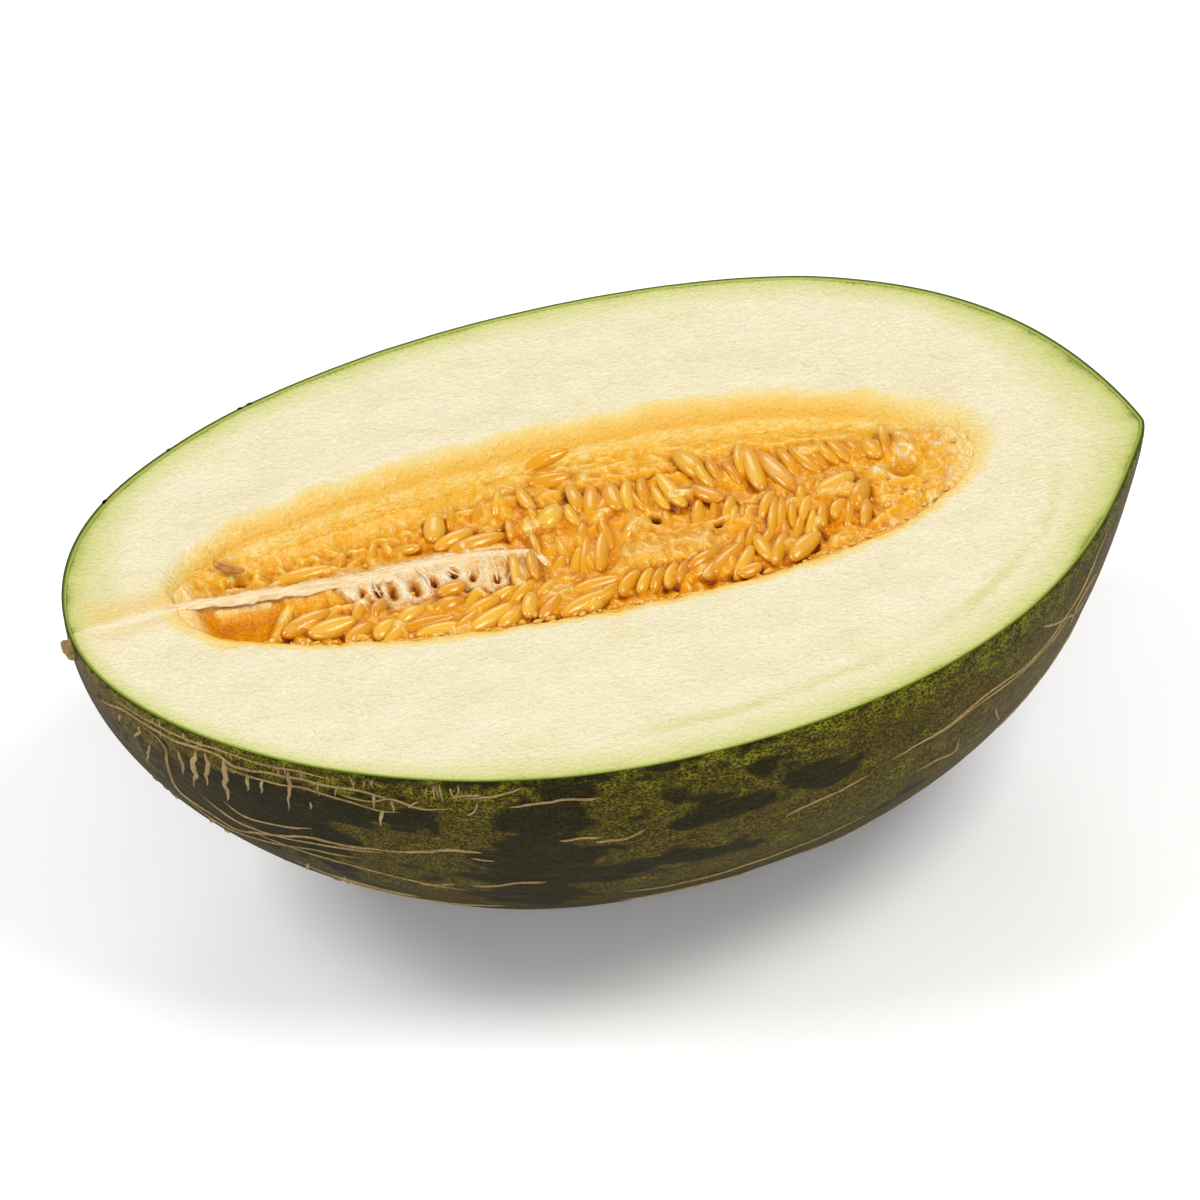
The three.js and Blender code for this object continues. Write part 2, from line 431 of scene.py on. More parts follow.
# ---- rind
rindShell = {
    "rows": 370,
    "around": 190,
    "inner": 14,
    # how far into the cut edge of the skin each row of the rim lies
    "rim": (0.12, 0.4, 0.7),
    # place along X, degrees under the near edge, and both reaches: patches with speckles, dark patches
    # without, and speckled gaps between the dark ones
    "lightPatches": [(6, 5, 20, 4.5), (40, 6, 26, 6), (60, 14, 30, 9), (30, 24, 30, 6)],
    "darkPatches": [
        (-70, 11, 8, 4.5), (-39, 9, 12, 3.6), (-38, 17, 12, 4.0), (4, 13.5, 13, 2.7), (12.5, 5.6, 5, 1.7),
        (-95, 20, 14, 12), (-80, 11, 8, 6), (-112, 30, 10, 16), (-20, 25, 30, 3.5), (27, 12.5, 8, 2.5),
        (20, 10.5, 4, 1.6),
    ],
    "openPatches": [(-57, 10, 5, 8), (-20, 6, 10, 6), (-28, 14.5, 9, 1.6), (-70, 17, 12, 3.0)],
}


def patchShares(points, under, ragged, kind, low, high, rough):
    # for each patch of a kind, 1 in its middle and 0 past a ragged edge
    for x, drop, reachX, reachDrop in rindShell[kind]:
        away = ((points[..., 0] - x) / reachX) ** 2 + ((under - drop) / reachDrop) ** 2
        yield smooth(low, high, away + rough * ragged)


def darkShare(points, angle):
    # how much of the rind is dark and smooth: the named patches near the cut, and stretched cloudy
    # patches all over, with ragged edges
    under = np.degrees(angle) - 180
    ragged = lumps(points, (9, 3.2, 3.2), 21, 4)
    spare = 0.3 * smooth(-40, 30, points[..., 0]) * smooth(60, 30, under)
    dark = smooth(0.1, 0.5, lumps(points, (46, 15, 15), 22, 2) + 0.8 * ragged - spare)
    for share in patchShares(points, under, ragged, "lightPatches", 1.5, 0.7, 1.8):
        dark = dark * (1 - 0.9 * share)
    for share in patchShares(points, under, ragged, "darkPatches", 1.6, 0.4, 2.2):
        dark = np.maximum(dark, share)
    for share in patchShares(points, under, ragged, "openPatches", 1.5, 0.5, 1.8):
        dark = dark * (1 - 0.9 * share)
    return dark


def rindMaterial():
    skin = Finish("darkRind", Specular_IOR_Level=0.06, Specular_Tint=(1, 0.85, 0.5, 1))
    dark = skin.feature("darkPatch")
    fine = skin.grain((0.75, 0.5, 0.5), 3.0, 0.65)
    coarse = skin.grain((5, 2.2, 2.2), 3.0, 0.65)
    slow = skin.grain((50, 18, 18), 2.0)
    low = skin.feature("lowOnRind")
    speckled = skin.ramp(
        fine * 0.8 + coarse * 0.2,
        (0.36, "1a1706"), (0.47, "39310c"), (0.55, "5c5014"), (0.64, "7a6c27"), (0.75, "938444"),
    )
    plain = skin.ramp(fine, (0.3, "141308"), (0.55, "24210d"), (0.75, "443a14"))
    colour = skin.blend((dark + (fine - 0.5) * 1.5).between(0.2, 0.75), speckled, plain)
    lit = skin.feature("greenEdge") * (1 - dark * 0.8) * coarse.between(0.42, 0.62)
    colour = skin.blend(lit * fine.between(0.42, 0.6) * 0.7, colour, "8d9416")
    # painted shade: patches towards the bottom of the rind are darkened; the same mark also darkens a band
    # just under the cut at the stem end
    colour = skin.blend(low * coarse.between(0.3, 0.7) * 0.65, colour, "36290d")
    brown = skin.feature("stemSide") * coarse.between(0.38, 0.62)
    colour = skin.blend(brown * 0.55, colour, "7a6238")
    # painted shade: the underside of the rind is darkened nearly to black
    colour = skin.blend(skin.feature("beneath") * 0.85, colour, "0f0b03")
    colour = skin.blend(slow.between(0.5, 0.8) * 0.3, colour, "3d3014")
    inward = skin.feature("inward")
    cutEdge = skin.ramp(inward, (0.0, "1f2a0d"), (0.35, "465a18"), (0.7, "93a03c"), (1.0, "bcc46a"))
    colour = skin.blend(inward.between(0.04, 0.2), colour, cutEdge)
    grit = skin.bump(fine + coarse * 2.0, 0.0003, 0.8)
    return skin.paint(Base_Color=colour, Normal=grit, Roughness=0.42 + 0.25 * coarse)


def makeRind():
    # a shell: each ring runs under the fruit on the outside and back along the inside of the skin
    turns = np.linspace(0, math.pi, rindShell["rows"])
    t = -np.cos(turns)[:, None]
    outer = np.linspace(math.pi, 2 * math.pi, rindShell["around"])[None, :]
    inner = np.linspace(2 * math.pi, math.pi, rindShell["inner"])[None, :]
    outside = rindPoint(t, outer)
    inside = rindPoint(t, inner, fruit["skin"])
    rim = rindShell["rim"]
    farRim = [rindPoint(t, outer[:, -1:], fruit["skin"] * k) for k in rim]
    nearRim = [rindPoint(t, outer[:, :1], fruit["skin"] * k) for k in rim[::-1]]
    points = np.concatenate([outside, *farRim, inside, *nearRim], axis=1)
    rows, columns = points.shape[:2]
    across = np.ones((1, len(rim)))
    angle = np.concatenate([outer, across * 2 * math.pi, inner, across * math.pi], axis=1)
    angle = np.broadcast_to(angle, (rows, columns))
    inward = np.concatenate([0 * outer, [rim], 0 * inner + 1, [rim[::-1]]], axis=1)
    inward = np.broadcast_to(inward, (rows, columns))
    under = np.degrees(np.minimum(angle - math.pi, 2 * math.pi - angle))
    ragged = lumps(points, (9, 4, 4), 25, 2)
    x = points[..., 0]
    features = {
        "darkPatch": darkShare(points, angle),
        "inward": inward,
        "greenEdge": np.maximum(smooth(8, 1, under + 8 * ragged), 0.7 * smooth(0.1, 0.5, ragged)),
        # painted shade under the fruit: none above 28 degrees under the edge, full past 62
        "beneath": smooth(28, 62, under),
        "stemSide": np.maximum(smooth(45, 100, x) * smooth(6, 18, under), 0.7 * smooth(-98, -124, x)),
        # painted shade, darker towards the bottom of the rind and in a band just under the cut at the stem
        # end
        "lowOnRind": np.clip(
            0.8 * smooth(22, 46, under) + 0.7 * smooth(60, 110, x) * smooth(4, 16, under), 0, 1,
        ),
    }
    piece = makePiece("rindShell", points, squares(rows, columns), features)
    piece.data.materials.append(rindMaterial())
    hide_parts("melon_flesh")


makeRind()

print("stage: cork lines")

# ---- cork lines on the rind: each a chain of places (x in millimetres, degrees under the near edge)
corkLines = {
    "edgeCrack": (0.8, [
        (-127, 24), (-124, 10), (-120, 7), (-114, 6), (-107, 4), (-103, 6), (-95, 4), (-86, 4), (-78, 4),
        (-70, 6),
    ]),
    "edgeCrackTwo": (0.6, [
        (-125, 6), (-119, 3.6), (-112, 3.2), (-106, 2.0), (-98, 2.4), (-91, 1.6), (-84, 2.2),
    ]),
    "edgeCrackThree": (0.6, [(-106, 8), (-98, 7.4), (-90, 6.4), (-82, 7.2), (-75, 8.6), (-70, 8.4)]),
    "edgeCrackFour": (0.5, [(-84, 5.6), (-78, 6.4), (-72, 5.2), (-66, 6.8), (-60, 6.2)]),
    "fallingCrack": (0.9, [
        (-121, 10), (-117, 11), (-116, 20), (-115, 31), (-113, 39), (-108, 39), (-103, 40), (-97, 32),
        (-90, 25), (-82, 23), (-67, 20),
    ]),
    "sideCrackTwo": (0.8, [(-110, 29), (-102, 33), (-93, 29), (-84, 25), (-74, 22.5)]),
    "sideCrackThree": (0.6, [(-112, 43), (-105, 44), (-97, 37), (-88, 30), (-78, 27)]),
    "sideCrack": (0.6, [(-106, 24), (-102, 27), (-97, 25), (-88, 20)]),
    "longStreak": (1.1, [(-71, 21), (-61, 18), (-53, 18)]),
    "longStreakTail": (0.5, [(-56, 20), (-50, 20.6)]),
    "midStreak": (0.8, [(-37, 14.2), (-32, 13.9), (-27, 14.2)]),
    "midStreakTwo": (0.9, [(-29, 15.2), (-22, 15.2), (-17, 13.4)]),
    "edgeStreak": (0.8, [(-48, 5.6), (-41, 4.7), (-35, 4.6), (-27, 4.8)]),
    "edgeFork": (0.7, [(-57, 3.6), (-50, 2.9), (-44, 1.4)]),
    "edgeForkTwo": (0.6, [(-60, 3.8), (-58, 3.0), (-53, 2.7)]),
    "edgeHook": (0.6, [(-57, 7.8), (-55, 6.4), (-54, 4.1)]),
    "edgeHookTwo": (0.5, [(-69, 7.1), (-68, 5.8), (-66, 5.1)]),
    "lowStreak": (0.7, [(-66, 33), (-63, 32.6), (-58, 30.4)]),
    "lowStreakTwo": (0.7, [(-55, 31), (-50, 30), (-44, 28.2), (-38, 28)]),
    "stemStreak": (0.8, [(17, 20.3), (23, 19), (31, 18.4), (38, 17.2)]),
    "stemRidge": (0.9, [
        (43, 15.8), (50, 15.2), (57, 14.9), (63, 14.2), (69, 13.4), (75, 13.9), (81, 15.2), (88, 15.6),
        (94, 13.9), (99, 13), (103, 10.2), (107, 6.6), (112, 5),
    ]),
    "stemRidgeTwin": (0.5, [(55, 15.8), (66, 14.6), (78, 15.6), (90, 17), (98, 16)]),
    "stemHook": (0.7, [(51, 24.7), (56, 24.4), (62, 26.4), (63, 22)]),
    "stemHookTwo": (0.7, [(73, 21), (74, 25), (76, 30)]),
    "stemCurl": (0.8, [(86, 7.4), (91, 11.8), (95, 15.2), (100, 21.3), (104, 21)]),
    "stemCurlTwo": (0.6, [(97, 24), (99, 18), (104, 16), (108, 20)]),
    "bellyStreak": (0.6, [(-20, 36), (0, 37), (22, 35), (40, 34)]),
}
hangingCracks = {
    # x, from degrees, to degrees, width: short cracks that hang across the rind under the edge crack
    "main": [
        (-120.5, 11, 24, 0.9), (-119, 18, 37, 0.8), (-114, 10, 23, 1.0), (-111, 6, 27, 1.3),
        (-108.5, 5, 21, 1.2), (-105.5, 5, 24, 1.5), (-101, 7, 14, 0.9), (-98, 7, 13, 0.8),
        (-92.5, 2, 16, 0.9), (-89, 10, 13, 0.6), (-76, 4, 9, 0.7), (-74, 8, 13.5, 0.8),
        (-72.5, 5, 9, 0.6), (-124, 14, 22, 0.7), (-95, 2, 5, 0.6), (-83, 3, 7, 0.5), (-87, 3, 8, 0.5),
        (-109.5, 1, 4, 0.6), (-104, 1.5, 4.5, 0.6), (-117, 5, 9, 0.7),
    ],
    "height": 0.32,
    "step": 0.8,
    # more of them, drawn at random: ticks at the cut edge, long streaks, and short cracks
    "ticks": 24,
    "streaks": 70,
    "shortCracks": 60,
    # the scar at the blossom end: middle, sizes, seed, and points along and around it
    "nub": ((-129.7, -5.2, -3.0), (2.1, 2.7, 2.6), 5, 16, 20),
}


def chain(controls, step):
    # a smooth line through a few places, divided into even steps: between two places it is the cubic
    # whose slope at each one is half the step from the place before it to the place after it
    controls = np.array(controls, float)
    before, after = 2 * controls[:1] - controls[1:2], 2 * controls[-1:] - controls[-2:-1]
    padded = np.concatenate([before, controls, after])
    pieces = []
    for k in range(len(controls) - 1):
        a, b, c, d = padded[k:k + 4]
        u = np.linspace(0, 1, 24, endpoint=False)[:, None]
        second, third = 2 * a - 5 * b + 4 * c - d, 3 * b - a - 3 * c + d
        pieces.append(0.5 * (2 * b + (c - a) * u + second * u ** 2 + third * u ** 3))
    dense = np.concatenate(pieces + [controls[-1:]])
    length = np.concatenate([[0], np.cumsum(np.linalg.norm(np.diff(dense[:, :2], axis=0), axis=1))])
    even = np.linspace(0, length[-1], max(int(length[-1] / step), 5))
    return np.stack([np.interp(even, length, dense[:, k]) for k in range(controls.shape[1])], axis=1)


def onRind(x, under):
    # the point of the rind and its outward direction at a place along X and degrees under the near edge
    t = np.clip(x / (fruit["length"] / 2), -0.998, 0.998)
    angle = math.pi + np.radians(under)
    here = rindPoint(t, angle)
    alongX = rindPoint(t + 0.002, angle) - here
    aroundX = rindPoint(t, angle + 0.004) - here
    out = np.cross(aroundX, alongX)
    return here, out / np.linalg.norm(out, axis=-1, keepdims=True)


def corkStrip(line, width, height, seed, hanging=False):
    # a raised lens of cork carried along a line on the rind, ragged in width and thin at both ends
    here, out = onRind(line[:, 0], line[:, 1])
    ahead = np.gradient(here, axis=0)
    ahead /= np.linalg.norm(ahead, axis=1, keepdims=True)
    side = np.cross(out, ahead)
    u = np.linspace(0, 1, len(line))
    if hanging:
        taper = np.sin(math.pi * u ** 0.65) ** 0.9
    else:
        taper = np.minimum(1, np.minimum(u, 1 - u) * 7) ** 0.7
    ragged = 1 + 0.35 * lumps(here, 3.0, seed, 2)
    across = np.array([-1, -0.55, 0, 0.55, 1, 0.5, -0.5])[None, :, None]
    lift = np.array([-0.4, 0.75, 1, 0.7, -0.4, -1.6, -1.6])[None, :, None]
    half = (width / 2 * taper * ragged)[:, None, None]
    rise = (height * taper * ragged)[:, None, None]
    return here[:, None, :] + side[:, None, :] * across * half + out[:, None, :] * lift * rise


def blob(centre, sizes, seed, along=7, around=7):
    # a small lumpy ball
    u = np.linspace(0, math.pi, along)[:, None]
    v = ringAngles(around)[None, :]
    ball = stacked(np.cos(u) + 0 * v, np.sin(u) * np.cos(v), np.sin(u) * np.sin(v))
    shaped = ball * np.asarray(sizes) * (1 + 0.6 * lumps(ball + seed, 0.8, 71, 1))[..., None]
    return shaped + np.asarray(centre)


def makeCork():
    # the named lines, the hanging cracks, and more of both round the rest of the rind
    picker = np.random.RandomState(7)
    height = hangingCracks["height"]
    strips = []
    for width, controls in corkLines.values():
        line = chain(controls, hangingCracks["step"])
        line = line + lumps(np.c_[line, line[:, :1]], 5.0, 31, 2)[:, None] * np.array([0.5, 0.35])
        strips.append(corkStrip(line, width, height, 32))
    for x, top, low, width in hangingCracks["main"]:
        lean = picker.uniform(-1.2, 1.2)
        controls = [(x, top), (x + lean * 0.5, (top + low) / 2), (x + lean * picker.uniform(0.2, 1.2), low)]
        line = chain(controls, 0.6)
        line[:, 0] += 0.5 * lumps(np.c_[line, line[:, :1]], 3.0, 36, 2)
        strips.append(corkStrip(line, width * 1.25, height * 1.2, 33, True))
    for _ in range(hangingCracks["ticks"]):
        x, top = picker.uniform(-122, -52), picker.uniform(0.4, 1.6)
        controls = [(x, top), (x + picker.uniform(-0.6, 0.6), top + 1.5)]
        controls.append((x + picker.uniform(-1, 1), top + picker.uniform(2, 4.5)))
        strips.append(corkStrip(chain(controls, 0.5), picker.uniform(0.4, 0.75), height, 37, True))
    for _ in range(hangingCracks["streaks"]):
        # round the belly and the far side
        x, under = picker.uniform(-112, 96), picker.uniform(28, 176)
        length, drift = picker.uniform(8, 48), picker.uniform(-4, 4)
        controls = [(x, under), (x + length / 2, under + drift)]
        controls.append((min(x + length, 118), under + drift * picker.uniform(-0.5, 1.5)))
        strips.append(corkStrip(chain(controls, 1.0), picker.uniform(0.5, 1.1), height, 34))
    for _ in range(hangingCracks["shortCracks"]):
        # near the blossom end, across the fruit
        x, under = -picker.uniform(70, 123), picker.uniform(36, 174)
        drop = picker.uniform(4, 16)
        controls = [(x, under), (x + picker.uniform(-1, 1), under + drop / 2)]
        controls.append((x + picker.uniform(-2, 2), under + drop))
        strips.append(corkStrip(chain(controls, 0.7), picker.uniform(0.5, 1.2), height, 35))
    strips = [closedEnds(strip) for strip in strips]
    nub = blob(*hangingCracks["nub"])
    points, faces = stitched([nub, *strips])
    points[:, 2] = np.minimum(points[:, 2], 0)
    # how dark each point is: the scar a little, each strip along its two edges and beneath
    outline = [np.full(nub.shape[0] * nub.shape[1], 0.2)]
    outline += [np.tile([1, 0.3, 0, 0.3, 1, 1, 1], len(strip)) for strip in strips]
    piece = makePiece("corkLines", points, faces, {"outline": np.concatenate(outline)})
    piece.data.materials.append(corkMaterial())
    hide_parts("melon_flesh")


def corkMaterial():
    cork = Finish("paleCork", Roughness=0.75)
    fine = cork.grain((0.7, 0.7, 0.7), 3.0, 0.6)
    slow = cork.grain((12, 6, 6), 2.0)
    colour = cork.ramp(fine * 0.6 + slow * 0.4, (0.3, "664e24"), (0.5, "977d49"), (0.7, "b8a06c"))
    colour = cork.blend(cork.feature("outline").between(0.4, 1.0) * 0.7, colour, "3a2a10")
    return cork.paint(Base_Color=colour, Normal=cork.bump(fine, 0.0002, 0.8))


makeCork()

print("stage: flesh")

# ---- flesh
flesh = {
    "round": 880,
    "faceRows": 80,
    "wallRows": 22,
    "underRows": 7,
    # how far the cut lies below the rim, the height of its grain and of its slow waves
    "level": 0.32,
    "pebble": 0.20,
    "wave": 0.14,
    # how wide the rounded lips of the hollow are, and how far they fall for each millimetre of width
    "farLip": 6.5,
    "nearLip": 0.8,
    "lipFall": 0.55,
}


def lipWidth(side, half):
    # the lip on either side of the hollow, narrower where the hollow closes
    return np.where(side > 0, flesh["farLip"], flesh["nearLip"]) * np.minimum(half / 12, 1)


def nearestDistance(points, line):
    # distance from each point to the nearest point of a closely divided line, in slices to save memory
    found = np.empty(len(points))
    for start in range(0, len(points), 4000):
        part = points[start:start + 4000, None, :2] - line[None, :, :2]
        found[start:start + 4000] = np.sqrt((part ** 2).sum(axis=2).min(axis=1))
    return found


def makeFlesh():
    # rows go from the bottom of the hollow up its wall, out over the cut face to the skin and back
    # under the flesh, each row a ring round the fruit
    turn = ringAngles(flesh["round"])
    t = -np.cos(turn)
    upper = np.sin(turn) >= 0
    sign = np.where(upper, 1.0, -1.0)
    t[np.abs(t) > 0.999999] = np.sign(t[np.abs(t) > 0.999999])
    rim = rindPoint(t, np.where(upper, 2 * math.pi, math.pi), fruit["skin"] - 0.08)
    hollowX = hollowMiddleX + t * hollowHalfLength
    middle, half, deep = hollowSpan(hollowX)
    around = np.stack([hollowX, sign * half, 0 * t], axis=1)
    ragged = lumps(around, 6, 41, 3) * np.minimum(half, 8) / 8
    torn = 0.8 * np.abs(lumps(around, 1.8, 49, 2)) * (sign < 0) * np.minimum(half, 8) / 8
    edge = np.stack([hollowX, middle + sign * (half + 1.2 * ragged - torn), 0 * t], axis=1)
    share = np.linspace(0, 1, flesh["faceRows"])[:, None, None]
    face = edge[None] * (1 - share) + rim[None] * share
    fromRim = nearestDistance(face.reshape(-1, 3), rim[::2]).reshape(face.shape[:2])
    fromHollow = nearestDistance(face.reshape(-1, 3), edge[::2]).reshape(face.shape[:2])
    fromHollow[0] = 0
    # pebbled wet grain, slow waves of the cut, and lips rounded into the hollow
    pebbles = lumps(face, (2.3, 1.5, 1.5), 42, 2) + 0.5 * lumps(face, (5.5, 4, 4), 43, 1)
    calm = smooth(0.5, 5, fromRim) * smooth(0.0, 2.0, fromHollow)
    waves = flesh["wave"] * lumps(face, 45, 44, 2)
    face[..., 2] = -flesh["level"] + flesh["pebble"] * pebbles * calm + waves
    lip = (lipWidth(sign, half) + 0.05)[None]
    bent = np.clip(1 - fromHollow / lip, 0, 1)
    face[..., 2] -= lip * flesh["lipFall"] * bent ** 2
    face[..., 2] = np.minimum(face[..., 2], -0.02)
    # hollow wall
    fall = np.linspace(0, math.pi / 2, flesh["wallRows"] + 1)[1:, None]
    wall = stacked(
        hollowX[None, :],
        middle[None] + sign[None] * half[None] * np.cos(fall),
        face[0, :, 2][None] * np.cos(fall) - deep[None] * np.sin(fall),
    )
    slope = 6.5 * (1 - np.exp(wall[..., 2] / 6)) * (sign[None] > 0) * np.minimum(half, 20)[None] / 20
    wall[..., 1] -= slope
    threads = lumps(wall, (3.2, 9, 6), 45, 3) * np.minimum(half, 9)[None] / 9 * np.cos(fall)
    wall[..., 1] -= sign[None] * 0.75 * threads * (half > 3)[None]
    # underside, just inside the skin and kept below the cut face at the two tips
    fall = np.linspace(0, math.pi / 2, flesh["underRows"] + 1)[1:, None]
    angle = np.where(upper[None], 2 * math.pi - fall, math.pi + fall)
    under = rindPoint(np.broadcast_to(t, angle.shape), angle, fruit["skin"] + 1.2)
    under[..., 2] = np.minimum(under[..., 2], -0.7)
    grid = np.concatenate([wall[::-1], face, under])
    rows, columns = grid.shape[:2]
    down = np.concatenate([-wall[::-1, :, 2], np.zeros((rows - flesh["wallRows"], columns))])

    def onFace(values, inHollow, beneath):
        # values given on the cut face, with one value for the hollow's wall and one for the underside
        wallPart = np.full((flesh["wallRows"], columns), inHollow)
        return np.concatenate([wallPart, values, np.full((flesh["underRows"], columns), beneath)])

    # golden tint round the hollow: wide and soft on the far side, a thin fringe on the near side, and
    # drawn out beyond both ends
    x, y = face[..., 0], face[..., 1]
    reach = np.where(y > middle[None], 7.5 - 2.5 * smooth(-84, -100, x), 3.4)
    reach = reach + 1.5 * smooth(-84, -108, x) + 4 * smooth(70, 96, x)
    streaks = lumps(face, (9, 1.6, 1.6), 46, 2) * 0.28 + lumps(face, 7, 47, 2) * 0.3
    golden = np.clip(1 - fromHollow / reach * (1 + streaks), 0, 1) ** 1.3
    golden = golden * (1 - 0.4 * smooth(62, 86, x)) * (1 - 0.35 * smooth(-90, -102, x))
    ends = smooth(95, 122, np.abs(x + 4))
    offStreak = y + 2.2 - 0.06 * (x + 110) + 0.8 * lumps(face, (12, 50, 5), 48, 1)
    atLeft = smooth(-99, -106, x) * smooth(-129, -121, x)
    # the green under the skin is narrowest on the near side by the blossom end, and wider at the tips
    narrow = np.where(sign[None] > 0, 1.5, 1.35 + 1.3 * smooth(-40, -90, x))
    narrow = narrow / (1 + 1.2 * ends * np.where(sign[None] > 0, 1, 0.5 * (x > 0)))
    features = {
        "leftGold": onFace(atLeft * np.exp(-((offStreak - 3.0) / 6.5) ** 2), 0, 0),
        "leftPale": onFace(atLeft * np.exp(-(offStreak / 1.5) ** 2), 0, 0),
        "fromRim": onFace(fromRim * narrow, 60, 0),
        "golden": onFace(golden, 1, 0),
        "down": down,
        "nearSide": onFace((sign[None] < 0) * smooth(110, 98, x) * smooth(-70, 20, x), 0, 0),
    }
    piece = makePiece("fleshBody", grid, squares(rows, columns), features)
    piece.data.materials.append(fleshMaterial())
    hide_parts("melon_flesh")


def fleshMaterial():
    wet = Finish(
        "creamFlesh", Subsurface_Weight=0.15, Subsurface_Scale=0.0015, Subsurface_Radius=(1.0, 0.75, 0.35),
        Coat_Roughness=0.2, Specular_Tint=(1, 0.94, 0.78, 1),
    )
    fine = wet.grain((1.4, 1.0, 1.0), 3.0, 0.6)
    cloud = wet.grain((16, 9, 9), 3.0, 0.55)
    edge = wet.feature("fromRim") + (cloud - 0.5) * 5.0
    cream = wet.ramp(cloud * 0.7 + fine * 0.3, (0.34, "eee2b6"), (0.5, "f3e7c0"), (0.66, "f6ecca"))
    green = wet.ramp(
        edge * 0.05, (0.0, "8b962f"), (0.03, "bcc05e"), (0.10, "d5d584"), (0.24, "e1dd9c"), (0.5, "ece5b4"),
        (0.85, "f3e8c2"),
    )
    colour = wet.blend(edge.between(9.0, 17.0), green, cream)
    vein = wet.feature("fromRim") + (wet.grain((14, 14, 14), 2.0) - 0.5) * 5.0
    vein = vein.between(12.0, 15.5) * (1 - vein.between(15.5, 20.0)) * wet.feature("nearSide")
    colour = wet.blend(vein * 0.75 * wet.grain((30, 30, 30), 1.0).between(0.4, 0.58), colour, "d6d684")
    golden = wet.feature("golden")
    warm = wet.ramp(golden, (0.0, "f3e7c0"), (0.3, "f5dd92"), (0.62, "f8cd62"), (1.0, "f7bc38"))
    colour = wet.blend(golden.between(0.0, 0.25), colour, warm)
    colour = wet.blend(wet.feature("leftGold") * 0.75, colour, "f0ca6c")
    colour = wet.blend(wet.feature("leftPale") * 0.8, colour, "fbf0cf")
    # painted highlight: small pale glints over the wet face, kept off the green rim and the golden fringe
    glint = wet.grain((1.7, 0.6, 0.6), 1.0, 0.5)
    shown = edge.between(6.0, 14.0) * (1 - golden.between(0.0, 0.3))
    colour = wet.blend(glint.between(0.6, 0.74) * 0.4 * shown, colour, "fffbe2")
    down = wet.feature("down")
    streak = wet.grain((2.8, 4.5, 3.0), 3.0, 0.6)
    depth = down * 0.045 + (fine - 0.5) * 0.3 + (streak - 0.5) * 1.0
    wall = wet.ramp(
        depth, (0.0, "fbdc80"), (0.2, "fbca4c"), (0.45, "f9b722"), (0.75, "f2a00c"), (1.0, "d98200"),
    )
    colour = wet.blend(down.between(0.2, 3.0), colour, wall)
    colour = wet.blend(down.between(0.3, 2.0) * glint.between(0.52, 0.72) * 0.5, colour, "fde9ac")
    grit = wet.bump(fine, 0.0009, 1.0)
    film = 0.05 + 0.3 * fine.between(0.45, 0.7)
    return wet.paint(Base_Color=colour, Normal=grit, Roughness=0.32 + 0.2 * cloud, Coat_Weight=film)


makeFlesh()

print("stage: seeds")

